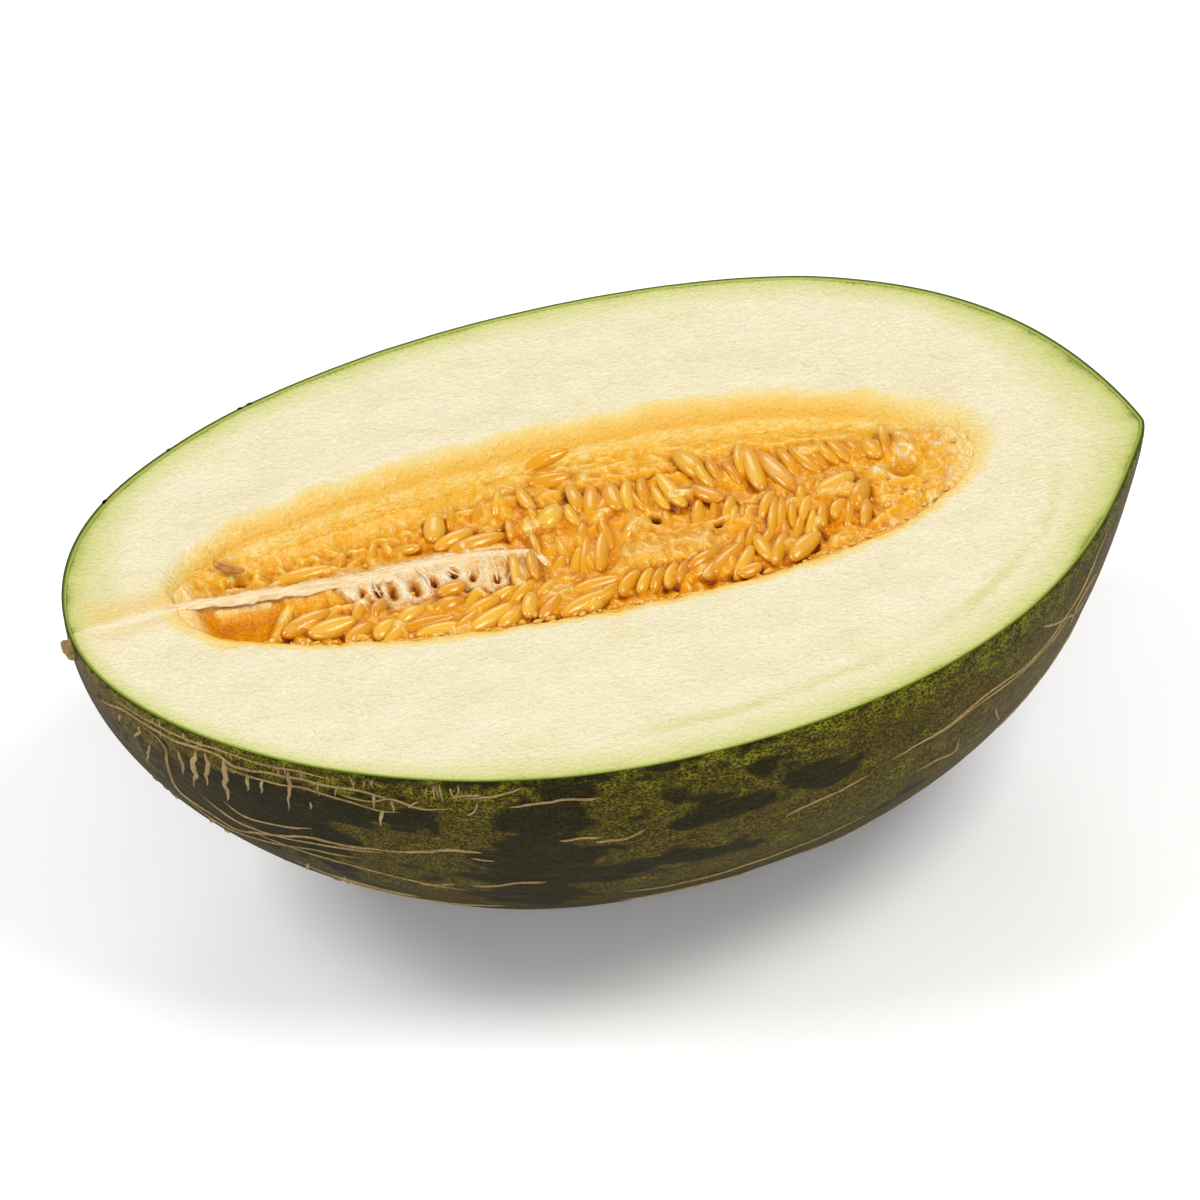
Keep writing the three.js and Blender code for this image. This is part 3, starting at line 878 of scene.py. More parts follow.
# ---- seeds
seedShape = {
    "length": 11.8,
    "width": 4.7,
    "thick": 3.0,
    # how far a place slides along X and Y, for each millimetre of depth, on the line of sight
    "sight": (0.29, 1.18),
    # points along and around each seed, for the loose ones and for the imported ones
    "loose": (18, 16),
    "packed": (9, 8),
}
looseSeeds = [
    # the two ends of each seed as they look from the front (x, y, x, y on the cut), the depth of both
    # ends, width, and roll about its own length
    # along the near wall, from the blossom end
    (-83, -20.8, -70.5, -16, 2.0, 2.0, 5.0, 25),
    (-77.4, -23, -65.7, -21.2, 1.8, 1.8, 5.4, 20), (-69.9, -28.6, -62.5, -23.5, 1.8, 2.0, 4.6, 30),
    (-66.5, -22.1, -61.3, -14.3, 2.4, 2.4, 4.2, 50), (-61.9, -22.1, -57.7, -16.3, 2.4, 2.4, 4.2, 50),
    (-63.2, -29, -56.8, -24.2, 1.9, 2.2, 5.0, 25), (-56.9, -25.6, -49.6, -21.7, 2.2, 2.2, 4.4, 25),
    (-57, -28.4, -43.7, -27.7, 2.4, 2.4, 4.2, 25), (-54, -31, -41.4, -31.3, 1.7, 1.7, 4.2, 25),
    (-47.9, -24, -39.8, -22, 2.0, 2.0, 5.0, 15), (-45.2, -18.7, -38.5, -17.1, 2.2, 2.2, 4.2, 15),
    (-42, -29.4, -32, -24.3, 2.0, 2.2, 4.6, 30), (-41.6, -34, -30, -28.2, 1.8, 2.0, 4.8, 25),
    (-27.7, -33.5, -24.3, -25.5, 1.9, 2.4, 4.6, 30), (-24.8, -35.2, -16.8, -27.3, 1.8, 2.2, 4.6, 25),
    (-16.3, -28.5, -2.8, -27.2, 2.2, 2.2, 4.4, 25), (-20.4, -35.2, -6, -30.7, 1.7, 1.9, 4.8, 20),
    (-5.4, -33, 0.9, -26.5, 2.0, 2.3, 4.4, 52), (-0.8, -33.8, 4.5, -26.6, 2.0, 2.3, 4.4, 56),
    (2.2, -34.3, 7.2, -26.8, 2.0, 2.3, 4.4, 58), (5.4, -34, 9.8, -26.8, 2.0, 2.3, 4.2, 60),
    (8.6, -33.4, 12.6, -27, 2.0, 2.3, 4.2, 60), (12.4, -29.6, 21.4, -25.1, 2.0, 2.2, 4.2, 45),
    (16.3, -33.6, 26.8, -25, 1.8, 2.0, 5.0, 22), (22.4, -35.3, 28.5, -33.6, 1.6, 1.6, 4.2, 10),
    (31.3, -33.2, 30.6, -22.3, 1.8, 2.4, 4.8, 25), (35.8, -33.6, 44.9, -26.3, 1.7, 1.9, 4.8, 20),
    # by the strand
    (-26.8, -22.2, -24.7, -9.7, 2.4, 2.4, 4.6, 60), (-22.6, -21.3, -21.1, -10.9, 2.6, 2.6, 4.4, 62),
    (-41.5, 0, -38.3, 10.1, 2.9, 3.2, 5.4, 8), (-41.7, -2.5, -31.5, 1.4, 2.8, 2.8, 4.4, 22),
    (-38.9, -4.6, -24.8, -2.5, 2.2, 2.4, 4.6, 18), (-23.6, -5.4, -22.5, 1.8, 3.0, 3.0, 4.0, 60),
    (-19.6, -6, -18.4, 1.6, 3.0, 3.0, 4.0, 60), (-80.6, -1.8, -66, -1, 3.0, 3.0, 4.4, 15),
    # the middle
    (-16, -3.3, -9.6, 3.5, 2.4, 2.8, 5.8, 8), (-16.5, 3.2, -17.4, 12.1, 3.4, 3.8, 4.4, 35),
    (-8, -6.1, -8.4, 2.6, 3.2, 3.2, 4.4, 40), (-5.6, -0.7, -5.4, 10.2, 2.8, 3.2, 4.4, 25),
    (-4.2, -5.1, -0.5, 7.7, 3.2, 3.4, 4.8, 20), (2.6, -3.6, 3.0, 6.5, 3.0, 3.2, 5.6, 8),
    (5, -4.4, 7.5, 6.5, 3.2, 3.4, 4.4, 40), (9.5, -3.3, 11.2, 6.7, 3.2, 3.4, 4.2, 42),
    (17.9, -7.4, 15.4, 6.6, 2.8, 3.0, 5.0, 22), (-7.6, -23.5, -2.6, -9.6, 3.6, 3.4, 4.4, 40),
    (-11.6, -24.6, -5.9, -8.5, 3.6, 3.4, 4.2, 50), (-16, 18.7, -1.6, 23.4, 6.3, 4.3, 4.2, 15),
    (-14.5, 12.7, -4.5, 12.6, 4.6, 4.4, 4.8, 25),
    # the far row and the seeds in front of it
    (25.2, 1.5, 21.8, 14, 2.9, 3.2, 6.0, 10), (27.1, -8.3, 21.5, -1, 2.6, 2.8, 5.6, 15),
    (32.9, -3.9, 31.6, 6.1, 3.2, 3.4, 4.6, 50), (33.9, -1.8, 36.5, 10.8, 3.6, 3.4, 4.6, 56),
    (37, -7.4, 38.1, 9.4, 3.2, 3.2, 5.6, 25), (44.5, -10.1, 40, 7.5, 2.6, 3.0, 6.0, 20),
    (46.8, -6.5, 45.6, 6.3, 3.4, 3.4, 5.2, 45), (51.7, -6.7, 48, 5.8, 3.2, 3.2, 5.6, 30),
    (53.4, -5.6, 51.6, 5.3, 3.4, 3.2, 5.2, 38), (56.8, -4.7, 54.2, 5.3, 3.2, 3.0, 5.0, 38),
    (59.6, -4.8, 57.2, 4.6, 3.2, 2.8, 4.8, 42), (63.6, -4.6, 61, 3.6, 3.4, 3.0, 4.8, 42),
    (66.6, -5.4, 65.4, 2.1, 2.6, 2.6, 5.2, 12), (48.6, -13.6, 58.9, -9.2, 2.0, 2.2, 6.0, 12),
    (55.4, -20.8, 61.1, -11.7, 2.2, 2.4, 5.2, 28), (28.6, -2, 28, 8, 3.6, 3.8, 4.6, 45),
    # lower right
    (33.6, -17.4, 39.5, -8.3, 2.4, 2.6, 4.2, 55), (33.8, -25.1, 39.2, -11, 2.4, 2.4, 4.2, 62),
    (36.5, -24.4, 41, -10.9, 2.4, 2.5, 4.2, 64), (39.4, -23.5, 43, -13, 2.4, 2.5, 4.0, 60),
    (42.2, -21.7, 46.6, -13.7, 2.3, 2.4, 4.0, 55), (25.6, -15.7, 30, -6.9, 2.6, 2.8, 4.2, 52),
    (49.4, -22.7, 54, -17.1, 2.0, 2.2, 4.2, 45), (46, -25, 49, -17.5, 2.2, 2.3, 4.0, 55),
    # the brown one
    (-92.2, 9.6, -86.4, 4.6, 2.4, 2.8, 2.8, 15),
]
packedRows = [
    # from x, to x, gap, the row's line as (x, y), how far the seeds are lifted, then lean, tilt, roll and
    # their scatter in degrees: shingled along the near wall, stacked on edge towards the stem end and
    # standing side by side along the far side
    (-68, -8, 5.4, [(-70, -22), (-60, -26), (-45, -28), (-8, -29.5)], 0.3, 42, 0, 30, 8),
    (-76, -10, 5.6, [(-78, -13), (-60, -19), (-40, -21), (-10, -22.5)], 0.0, 40, 0, 35, 9),
    (-8, 40, 4.3, [(-8, -29), (30, -29), (40, -27)], 0.5, (45, 60), 0, 50, 6),
    (27, 60, 3.5, [(27, -22), (60, -20)], 0.4, (66, 70), 4, 66, 5),
    (28, 62, 3.5, [(28, -12), (62, -11)], 0.3, (68, 72), 8, 66, 5),
    (27, 73, 3.9, [(27, 6), (73, 2)], 0.3, (108, 94), 10, 52, 6),
    (-20, 28, 5.0, [(-20, 2), (28, 2)], -0.4, (84, 100), 8, 40, 18),
    (-18, 28, 5.4, [(-18, -8), (28, -8)], -0.5, (72, 78), 6, 44, 16),
    (-16, 26, 5.8, [(-16, -16), (26, -15)], -1.0, 66, 4, 44, 14),
    (-34, -14, 6.0, [(-34, 9), (-14, 10)], -1.0, 80, 10, 40, 20),
    (-78, -46, 7.5, [(-78, 3), (-46, 6)], -1.6, 60, 4, 30, 25),
]


def placedSeeds():
    # the ends slid down along the line of sight to their depth, as middle, lean, tilt, roll and sizes
    x, y, farX, farY, depth, farDepth, width, roll = np.array(looseSeeds, float).T
    slideX, slideY = seedShape["sight"]
    low = stacked(x + slideX * depth, y + slideY * depth, -depth)
    high = stacked(farX + slideX * farDepth, farY + slideY * farDepth, -farDepth)
    middle, span = (low + high) / 2, high - low
    length = np.linalg.norm(span, axis=1)
    lean = np.degrees(np.arctan2(span[:, 1], span[:, 0]))
    tilt = np.degrees(np.arcsin(span[:, 2] / length))
    places = [middle[:, 0], middle[:, 1], -middle[:, 2]]
    return np.stack([*places, lean, tilt, roll, length + 0.6, width], axis=1)


def seedTemplate(along, around):
    # a flat seed: its outline swells quickly from a blunt point and closes with a round end; two
    # parameters, along the seed and round it
    u = (0.5 - 0.5 * np.cos(np.linspace(0, math.pi, along)))[:, None]
    v = ringAngles(around)[None, :]
    body = np.clip(np.sin(math.pi * u ** 0.88), 0, None)
    wide = body ** 0.5 * 0.5
    thick = body ** 0.45 * 0.5
    through = thick * np.sin(v) * (1 - 0.2 * np.abs(np.cos(v)) ** 3)
    return stacked(u - 0.5 + 0 * v, wide * np.cos(v), through).reshape(-1, 3)


def seedFrames(lean, tilt, roll):
    # for each seed three directions: along it, across it and through it; lean turns it in the cut
    # plane, tilt lifts its far end and roll turns it about itself
    lean, tilt, roll = (np.radians(v) for v in (lean, tilt, roll))
    ahead = stacked(np.cos(lean) * np.cos(tilt), np.sin(lean) * np.cos(tilt), np.sin(tilt))
    flat = stacked(-np.sin(lean), np.cos(lean), 0 * lean)
    up = np.cross(ahead, flat)
    wide = flat * np.cos(roll)[:, None] + up * np.sin(roll)[:, None]
    thick = up * np.cos(roll)[:, None] - flat * np.sin(roll)[:, None]
    return np.stack([ahead, wide, thick], axis=1)


def seedPoints(settings, along, around):
    # every seed's points in millimetres: the template sized, bent a little and turned into place
    template = seedTemplate(along, around)
    length, width = settings[:, 6], settings[:, 7]
    sizes = np.stack([length, width, seedShape["thick"] * width / seedShape["width"]], axis=1)
    local = template[None] * sizes[:, None, :]
    bend = np.sin(settings[:, 0] * 37 + settings[:, 1] * 19)[:, None]
    local[..., 2] += bend * template[None, :, 0] ** 2 * 2.2
    local[..., 1] += np.cos(settings[:, 0] * 23)[:, None] * template[None, :, 0] ** 2 * 1.2
    frames = seedFrames(settings[:, 3], settings[:, 4], settings[:, 5])
    centres = stacked(settings[:, 0], settings[:, 1], -settings[:, 2])
    points = centres[:, None, :] + np.einsum("nkj,njc->nkc", local, frames)
    points[..., 2] = np.minimum(points[..., 2], -0.08)
    return points


def pocketShare(x, y):
    # 1 in the smooth pocket near the blossom end, falling off to nothing round it
    return np.exp(-((x + 91) / 10) ** 4 - ((y + 10.5) / 6.5) ** 4)


def closingShare(x):
    # 1 at both tips of the hollow, where the pulp comes up to the cut
    return smooth(0.88, 0.985, np.abs(x - hollowMiddleX) / hollowHalfLength)


def seedLevel(x, y):
    # how far under the cut face the tops of the seeds lie: a mound that falls away to the far wall,
    # with a pocket near the blossom end and pulp that rises at the stem end
    middle, half, _ = hollowSpan(x)
    across = np.clip((y - middle) / np.maximum(half, 0.2), -1, 1)
    fallFrom = 0.2 + 0.30 * smooth(-60, -20, x)
    under = pulp["middle"] + (pulp["nearWall"] - pulp["middle"]) * smooth(0.3, 0.9, -across)
    farWall = pulp["farWall"] - 2.0 * smooth(-60, -95, x) + 1.0 * smooth(0, 30, x)
    under = under + (farWall - pulp["middle"]) * smooth(fallFrom, fallFrom + 0.5, across)
    under = under + pulp["pocket"] * pocketShare(x, y)
    atStem = smooth(53, 75, x) * (1 - 0.8 * smooth(0.25, 0.75, across) * smooth(90, 80, x))
    under = under + (pulp["stemEnd"] - under) * atStem
    return under + (0.5 - under) * closingShare(x)


def rowOfSeeds(picker, fromX, toX, gap, line, lift, lean, tilt, roll, jitter):
    # seeds side by side along X on a line of (x, y): one line of settings for each
    x = np.arange(fromX, toX, gap)
    x = x + picker.uniform(-0.22, 0.22, len(x)) * gap
    y = np.interp(x, [p[0] for p in line], [p[1] for p in line]) + picker.uniform(-0.9, 0.9, len(x))
    depth = seedLevel(x, y) - lift + picker.uniform(-0.3, 0.4, len(x))
    angles = []
    for value in (lean, tilt, roll):
        angle = np.interp(x, (fromX, toX), np.atleast_1d(value)[[0, -1]])
        angles.append(angle + picker.normal(0, jitter, len(x)))
    length = seedShape["length"] * picker.uniform(0.9, 1.1, len(x))
    width = seedShape["width"] * picker.uniform(0.88, 1.1, len(x))
    return np.stack([x, y, depth, *angles, length, width], axis=1)


def packedSeeds():
    # the rows, without the seeds that would lie where a loose one already is
    picker = np.random.RandomState(11)
    rows = np.concatenate([rowOfSeeds(picker, *row) for row in packedRows])
    loose = placedSeeds()
    away = np.hypot(rows[:, None, 0] - loose[None, :, 0], rows[:, None, 1] - loose[None, :, 1]).min(axis=1)
    rows[:, 2] += 0.5
    return rows[away > 3.0]


def seedFinish():
    husk = Finish(
        "goldenSeed", Subsurface_Weight=0.1, Subsurface_Scale=0.0006, Subsurface_Radius=(1.0, 0.8, 0.3),
        Specular_IOR_Level=0.35, Specular_Tint=(1, 0.88, 0.6, 1), Coat_Roughness=0.05,
    )
    own = husk.feature("ownShade")
    fine = husk.grain((1.6, 1.6, 1.6), 3.0, 0.6)
    colour = husk.ramp(own * 0.6 + fine * 0.4, (0.1, "dd8c04"), (0.5, "e9a312"), (0.9, "f4bf38"))
    sunk = husk.feature("cavity") + (fine - 0.5) * 1.4
    # painted highlight: seed tops that stand above the pulp round them are paler
    colour = husk.blend((0 - sunk).between(0.1, 1.5) * 0.6, colour, "fcd880")
    colour = husk.blend(husk.feature("tipward").between(0.7, 1.0) * 0.6, colour, "d98410")
    # painted shade: seeds darken to orange, then brown, the deeper they lie below the pulp round them
    colour = husk.blend(sunk.between(0.0, 1.5) * 0.8, colour, "cc6a02")
    colour = husk.blend(sunk.between(1.1, 2.6) * 0.9, colour, "944400")
    brown = husk.ramp(fine, (0.35, "843800"), (0.65, "c46c0e"))
    colour = husk.blend(husk.feature("brownSeed"), colour, brown)
    relief = husk.bump(fine, 0.0002, 0.9)
    wet = (0.6 - sunk).between(-0.6, 1.0) * 0.5
    return husk.paint(Base_Color=colour, Normal=relief, Roughness=0.06 + 0.2 * fine, Coat_Weight=wet)


def makeSeeds(name, settings, grid, finish, seed, maps, brown=0.0):
    # one mesh of many seeds; brown is how brown the last of them is
    along, around = grid
    picker = np.random.RandomState(seed)
    points = seedPoints(settings, along, around)
    count = along * around
    faces = squares(along, around)[None] + (np.arange(len(settings)) * count)[:, None, None]
    brownShare = np.zeros(len(settings))
    brownShare[-1] = brown
    x, y, z = (points[..., k] for k in range(3))
    features = {
        "ownShade": np.repeat(picker.uniform(0, 1, len(settings)), count),
        # how far each point lies below the smoothed pulp round it, which the finish paints as shade and
        # highlight; weaker on the far wall
        "cavity": (sampled(maps, x, y, "mean") - z) * (1 - 0.8 * smooth(13, 19, y)),
        "brownSeed": np.repeat(brownShare, count),
        "tipward": np.tile(np.abs(seedTemplate(along, around)[:, 0]) * 2, len(settings)),
    }
    piece = makePiece(name, points, faces.reshape(-1, 4), features)
    piece.data.materials.append(finish)
    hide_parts("seed_mass")


# ---- the pale strand
strand = {
    "path": [
        # x, y, depth of the strand's middle
        (-118, -1.8, 1.3), (-111, -1.4, 0.9), (-104, -1.7, 0.3), (-95, -2.9, 0.3), (-84, -3.9, 0.6),
        (-72, -4.5, 1.1), (-60, -4.9, 1.6), (-46, -5.2, 1.8), (-34, -5.6, 2.0), (-26, -6.4, 2.3),
        (-20, -8.0, 2.8), (-17.5, -12, 3.4), (-17, -17, 4.0),
    ],
    "halfWidth": 2.1,
    "halfHeight": 0.8,
    "round": 20,
}


def strandLine(x):
    # where the pale strand runs, across the fruit, at a place along it
    places = strand["path"]
    return np.interp(x, [p[0] for p in places], [p[1] for p in places])


# ---- pulp that the seeds lie in
pulp = {
    "rows": 460,
    "across": 165,
    "under": 10,
    "belowSeeds": 1.0,
    "nearWall": 1.8,
    "middle": 3.0,
    "farWall": 5.6,
    "pocket": 3.6,
    "stemEnd": 2.0,
    "mapStep": 0.4,
    "crumbs": 190,
    # x, y, reach and depth of holes
    "pits": [(10.8, -5.4, 1.3, 4.5), (71.5, -6.5, 3.4, 2.6), (24.5, -12.6, 0.8, 4.5), (-88, 6, 2.0, 3.0)],
    # x, y, x, y, depth and steepness of smooth folds
    "folds": [
        (-77.4, -5.4, -83.6, -17.4, 2.0, 0.42), (-79.8, 1.0, -65.2, 2.2, 2.2, 0.6),
        (-94, -4.4, -83, -5.4, 1.7, 0.3),
    ],
    # x, y and reach of the openings torn in the web
    "webPits": [
        (-54.3, -10.6, 1.4), (-49, -10.9, 1.3), (-57.5, -9.7, 0.9), (-39.2, -9.3, 0.8), (-35.2, -11.8, 0.7),
        (-61, -9.5, 0.7), (-44.5, -10.5, 0.8), (-30, -14, 0.6),
    ],
}
looseSettings = placedSeeds()
packedSettings = packedSeeds()


def spread(values, reach):
    # the highest value within a square reach of each cell
    for axis in (0, 1):
        values = np.max([np.roll(values, k, axis) for k in range(-reach, reach + 1)], axis=0)
    return values


def softened(values, reach):
    # mean over a square reach of each cell
    for axis in (0, 1):
        values = np.mean([np.roll(values, k, axis) for k in range(-reach, reach + 1)], axis=0)
    return values


def offSegment(x, y, fromX, fromY, toX, toY):
    # distance of each place from a straight piece of line
    alongX, alongY = toX - fromX, toY - fromY
    share = np.clip(((x - fromX) * alongX + (y - fromY) * alongY) / (alongX ** 2 + alongY ** 2), 0, 1)
    return np.hypot(x - fromX - alongX * share, y - fromY - alongY * share)


def pulpMaps():
    # height of the pulp over a fine map of the hollow: a ridged bed, and wet skins that hang between
    # neighbouring seeds a little below their tops, thicker in some places and torn in others
    step = pulp["mapStep"]
    alongX = np.arange(hollow["from"] - 3, hollow["to"] + 3, step)
    acrossY = np.arange(-42, 34, step)
    x, y = np.meshgrid(alongX, acrossY, indexing="ij")
    place = stacked(x, y, 0 * x)
    tops = np.full((2,) + x.shape, -60.0)
    for layer, settings in enumerate((looseSettings, packedSettings)):
        spots = seedPoints(settings[settings[:, 0] > -80], 40, 32).reshape(-1, 3)
        row = np.clip(((spots[:, 0] - alongX[0]) / step).round().astype(int), 0, len(alongX) - 1)
        column = np.clip(((spots[:, 1] - acrossY[0]) / step).round().astype(int), 0, len(acrossY) - 1)
        np.maximum.at(tops[layer], (row, column), spots[:, 2])
    clear = softened((spread(tops[0], 2) > -50).astype(float), 3)
    tops = tops.max(axis=0)
    ridges = 1 - np.abs(lumps(place, (3.6, 6.5, 5), 51, 3)) * 2.2
    strings = 1 - np.abs(lumps(place + 90, (1.7, 7, 5), 52, 2)) * 2.4
    below = pulp["belowSeeds"] * (1 - 0.8 * smooth(48, 64, x)) * (1 - 0.75 * smooth(-78, -94, x))
    crumbly = 1.2 * lumps(place, 3.4, 57, 2) + 1.2 * np.abs(lumps(place, 5, 58, 2))
    atStem = smooth(56, 66, x)
    pocket = pocketShare(x, y)
    middle, half, _ = hollowSpan(x)
    farShare = smooth(0.4, 0.75, (y - middle) / np.maximum(half, 0.5))
    calm = (1 - 0.95 * pocket) * (1 - 0.85 * closingShare(x))
    folds = (1.6 * ridges + 1.2 * strings - 1.4) * calm * (1 - 0.85 * farShare)
    bed = -seedLevel(x, y) - below + folds * (1 - atStem) + 0.75 * crumbly * atStem
    closed = -spread(-spread(tops, 6), 6)
    thin = 0.65 + 1.0 * lumps(place, (8, 7, 6), 53, 2) + 0.5 * strings
    thin = thin * (1 - clear) + (0.8 + 0.5 * strings + 0.9 * lumps(place, (6, 5, 6), 66, 2)) * clear
    skins = softened(softened(closed, 1), 1) - thin
    # the torn web between the strand and the near seeds
    drop = strandLine(x) - y
    reach = 1.0 + 11.5 * smooth(-70, -60, x) * smooth(-18, -26, x)
    web = smooth(-104, -98, x) * smooth(-15, -21, x)
    web = web * smooth(-2.5, 0, drop) * smooth(reach + 1, reach - 3, drop)
    weave = 1 - np.abs(lumps(place + 40, (1.2, 5.0, 4), 54, 3)) * 3.2
    net = 1 - np.abs(lumps(place + 60, (2.6, 2.0, 4), 58, 2)) * 3.0
    sheet = -1.6 - 0.15 * drop + 0.45 * np.maximum(weave, net)
    torn = 1 - np.abs(lumps(place + 70, (4.5, 4.5, 4), 60, 3)) * 3.0
    # wet skins drawn right over some of the seeds
    over = smooth(0.14, 0.4, lumps(place, (9, 6, 6), 68, 2) - 0.1 * strings) * (1 - atStem) * (1 - farShare)
    drape = softened(closed, 1) + 0.2 + 0.25 * strings - 3.2 * (1 - over)
    height = np.maximum(np.maximum(bed, skins), drape)
    for fromX, fromY, toX, toY, depth, steep in pulp["folds"]:
        height = np.maximum(height, -depth - steep * offSegment(x, y, fromX, fromY, toX, toY) ** 2)
    quiet = 1.6 * smooth(-22, -34, x) + 1.5 * atStem + 1.2 * clear
    height = np.maximum(height, -seedLevel(x, y) - 0.7 + 0.9 * torn - quiet)
    height = np.maximum(height, np.where(web > 0.05, sheet * web + (1 - web) * -9, -60))
    for pitX, pitY, size in pulp["webPits"]:
        height -= 2.8 * np.exp(-((x - pitX) / size) ** 2 - ((y - pitY) / size / 2.0) ** 2)
    # banks of pulp beside the strand and along the near lip
    aside = np.abs(y - strandLine(x))
    bank = -1.2 - 0.38 * aside - 6 * smooth(-98, -104, x) - 8 * smooth(-26, -18, x)
    bank = bank + 0.3 * strings + 0.2 * ridges - 3 * pocket
    height = np.maximum(height, bank - 4 * smooth(0.2, 1.0, web) * smooth(-72, -58, x))
    brim = -0.75 - 0.8 * np.abs(y - middle + half)
    brim = brim - 4 * smooth(-70, -74, x) * smooth(-91, -84, x) - 3 * smooth(60, 70, x)
    height = np.maximum(height, brim + 0.5 * ridges + 0.5 * lumps(place, (3, 3, 3), 67, 2))
    # the tan shelf over the lower seeds: steep towards them, drawn out on its far side
    shelf = smooth(-6, 3, x) * smooth(29, 20, x)
    past = y + 19.0 + 0.05 * x + 1.8 * lumps(place, (11, 50, 5), 59, 3)
    ridge = -1.7 - (past / np.where(past > 0, 7.0, 2.2)) ** 2 * 0.9 - 5 * (1 - shelf)
    height = np.maximum(height, ridge + 0.6 * strings + 0.5 * ridges)
    for pitX, pitY, size, depth in pulp["pits"]:
        height -= depth * np.exp(-(((x - pitX) ** 2 + (y - pitY) ** 2) / size ** 2) ** 1.5)
    height = softened(height, 1) + 0.3 * lumps(place, (1.0, 1.6, 2), 55, 2) * calm * (1 - 0.6 * farShare)
    height = np.minimum(height, -0.45 + 0.27 * smooth(0.4, 1.0, closingShare(x)))
    # the smoothed height round each place, which the painted shade and highlight of seeds and pulp are
    # measured against
    whole = np.maximum(height, tops)
    mean = softened(softened(softened(whole, 3), 3), 2)
    # how pale, how tan and how smooth the pulp is
    proud = height - softened(softened(height, 4), 3)
    pale = np.clip(web * 1.2, 0, 1) * smooth(-1.4, 0.5, 0.4 * weave + proud + 0.2)
    tan = np.exp(-((y + 17.6) / 4.2) ** 2) * shelf
    blotches = 0.75 * smooth(0.1, 0.8, lumps(place, (13, 9, 9), 56, 2) + 0.25)
    tan = np.maximum(tan, blotches * smooth(-30, -12, x) * smooth(70, 40, x))
    near = 0.9 * np.exp(-((y - strandLine(x) - 1.5) / 3.5) ** 2)
    near = near * smooth(-100, -92, x) * smooth(-20, -35, x)
    pale = np.maximum(pale, near * smooth(-0.3, 0.5, height - mean + 0.3 * strings + 0.3))
    slab = smooth(1.2, 0.2, offSegment(x, y, -94, -4.6, -84, -5.2) / 2.4)
    curl = np.exp(-((x - 83) / 3.2) ** 2 - ((y + 6) / 5.5) ** 2)
    pale = np.maximum(pale, 0.8 * curl * smooth(-0.2, 0.5, lumps(place, (1.6, 1.6, 1.6), 69, 2)))
    flecks = smooth(0.25, 0.9, lumps(place, (1.8, 1.8, 2), 72, 2) + 0.4 * crumbly)
    pale = np.maximum(pale, 0.75 * atStem * flecks)
    tan = np.maximum(tan, 0.8 * slab)
    tan = np.maximum(tan, 0.7 * over * smooth(-0.4, 0.4, drape - height + 0.4))
    soft = pocket * (1 - slab)
    layers = {"height": height, "mean": mean, "pale": pale, "tan": tan, "pocket": soft}
    return alongX, acrossY, layers


def sampled(maps, x, y, name):
    # a map's value at any place, blended between its four nearest cells
    alongX, acrossY, layers = maps
    row = np.clip((x - alongX[0]) / pulp["mapStep"], 0, len(alongX) - 1.001)
    column = np.clip((y - acrossY[0]) / pulp["mapStep"], 0, len(acrossY) - 1.001)
    r, c = row.astype(int), column.astype(int)
    u, v = row - r, column - c
    values = layers[name]
    upper = values[r, c] * (1 - v) + values[r, c + 1] * v
    lower = values[r + 1, c] * (1 - v) + values[r + 1, c + 1] * v
    return upper * (1 - u) + lower * u


def makePulp(maps):
    # rows along the hollow; each goes over the pulp from the near wall to the far wall and back below
    turns = np.linspace(0.02, math.pi - 0.02, pulp["rows"])
    x = (hollowMiddleX - np.cos(turns) * hollowHalfLength)[:, None]
    middle, half, deep = hollowSpan(x)
    side = np.linspace(-1, 1, pulp["across"])[None, :]
    level = np.clip(seedLevel(x, middle + side * half), 0.5, deep * 0.85)
    reach = half * np.sqrt(np.clip(1 - (level / np.maximum(deep, 0.1)) ** 2, 0.03, 1))
    reach = reach + 0.5 + 0.9 * closingShare(x)
    y = middle + side * reach
    fullX = np.broadcast_to(x, y.shape)
    height = np.maximum(sampled(maps, fullX, y, "height"), -deep * 0.9)
    # at both tips the pulp's edge runs down on to the flesh's rounded lip
    lipDepth = 0.27 + flesh["lipFall"] * lipWidth(side, half)
    atTip = smooth(0.97, 1.0, np.abs(x - hollowMiddleX) / hollowHalfLength)
    joining = closingShare(x) * np.maximum(smooth(0.65, 1.0, np.abs(side)), atTip)
    height = height - (lipDepth + height) * joining
    top = stacked(fullX, y, height)
    back = np.linspace(1, -1, pulp["under"])[None, :]
    lowY = middle + back * half * 0.85
    floor = -deep * 0.93 * np.sqrt(1 - (back * 0.85) ** 2)
    lowest = np.minimum(height.min(axis=1, keepdims=True) - 1, floor)
    bottom = stacked(np.broadcast_to(x, lowY.shape), lowY, lowest)
    grid = closedEnds(np.concatenate([top, bottom], axis=1))
    # how far each point lies below the smoothed pulp round it, for the finish's painted shade and
    # highlight; faded out at the border and the tips
    sunk = sampled(maps, fullX, y, "mean") - height
    features = {
        "cavity": sunk * smooth(1.0, 0.93, np.abs(side)) * (1 - closingShare(x)),
        "paleWeb": sampled(maps, fullX, y, "pale"),
        "tanSkin": sampled(maps, fullX, y, "tan"),
        "pocket": sampled(maps, fullX, y, "pocket"),
        "farSide": smooth(0.4, 0.75, side) + 0 * y,
        "nearEdge": smooth(62, 80, fullX) * smooth(6, 1, half * (1 - np.abs(side))),
        "tips": smooth(0.45, 1.0, closingShare(x)) + 0 * y,
        "stemEnd": smooth(56, 68, fullX),
    }
    # nothing on the rows below the pulp and on the two closed ends
    features = {label: np.pad(values, ((1, 1), (0, pulp["under"]))) for label, values in features.items()}
    piece = makePiece("pulpBed", grid, squares(*grid.shape[:2]), features)
    piece.data.materials.append(pulpFinish())
    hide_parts("seed_mass")


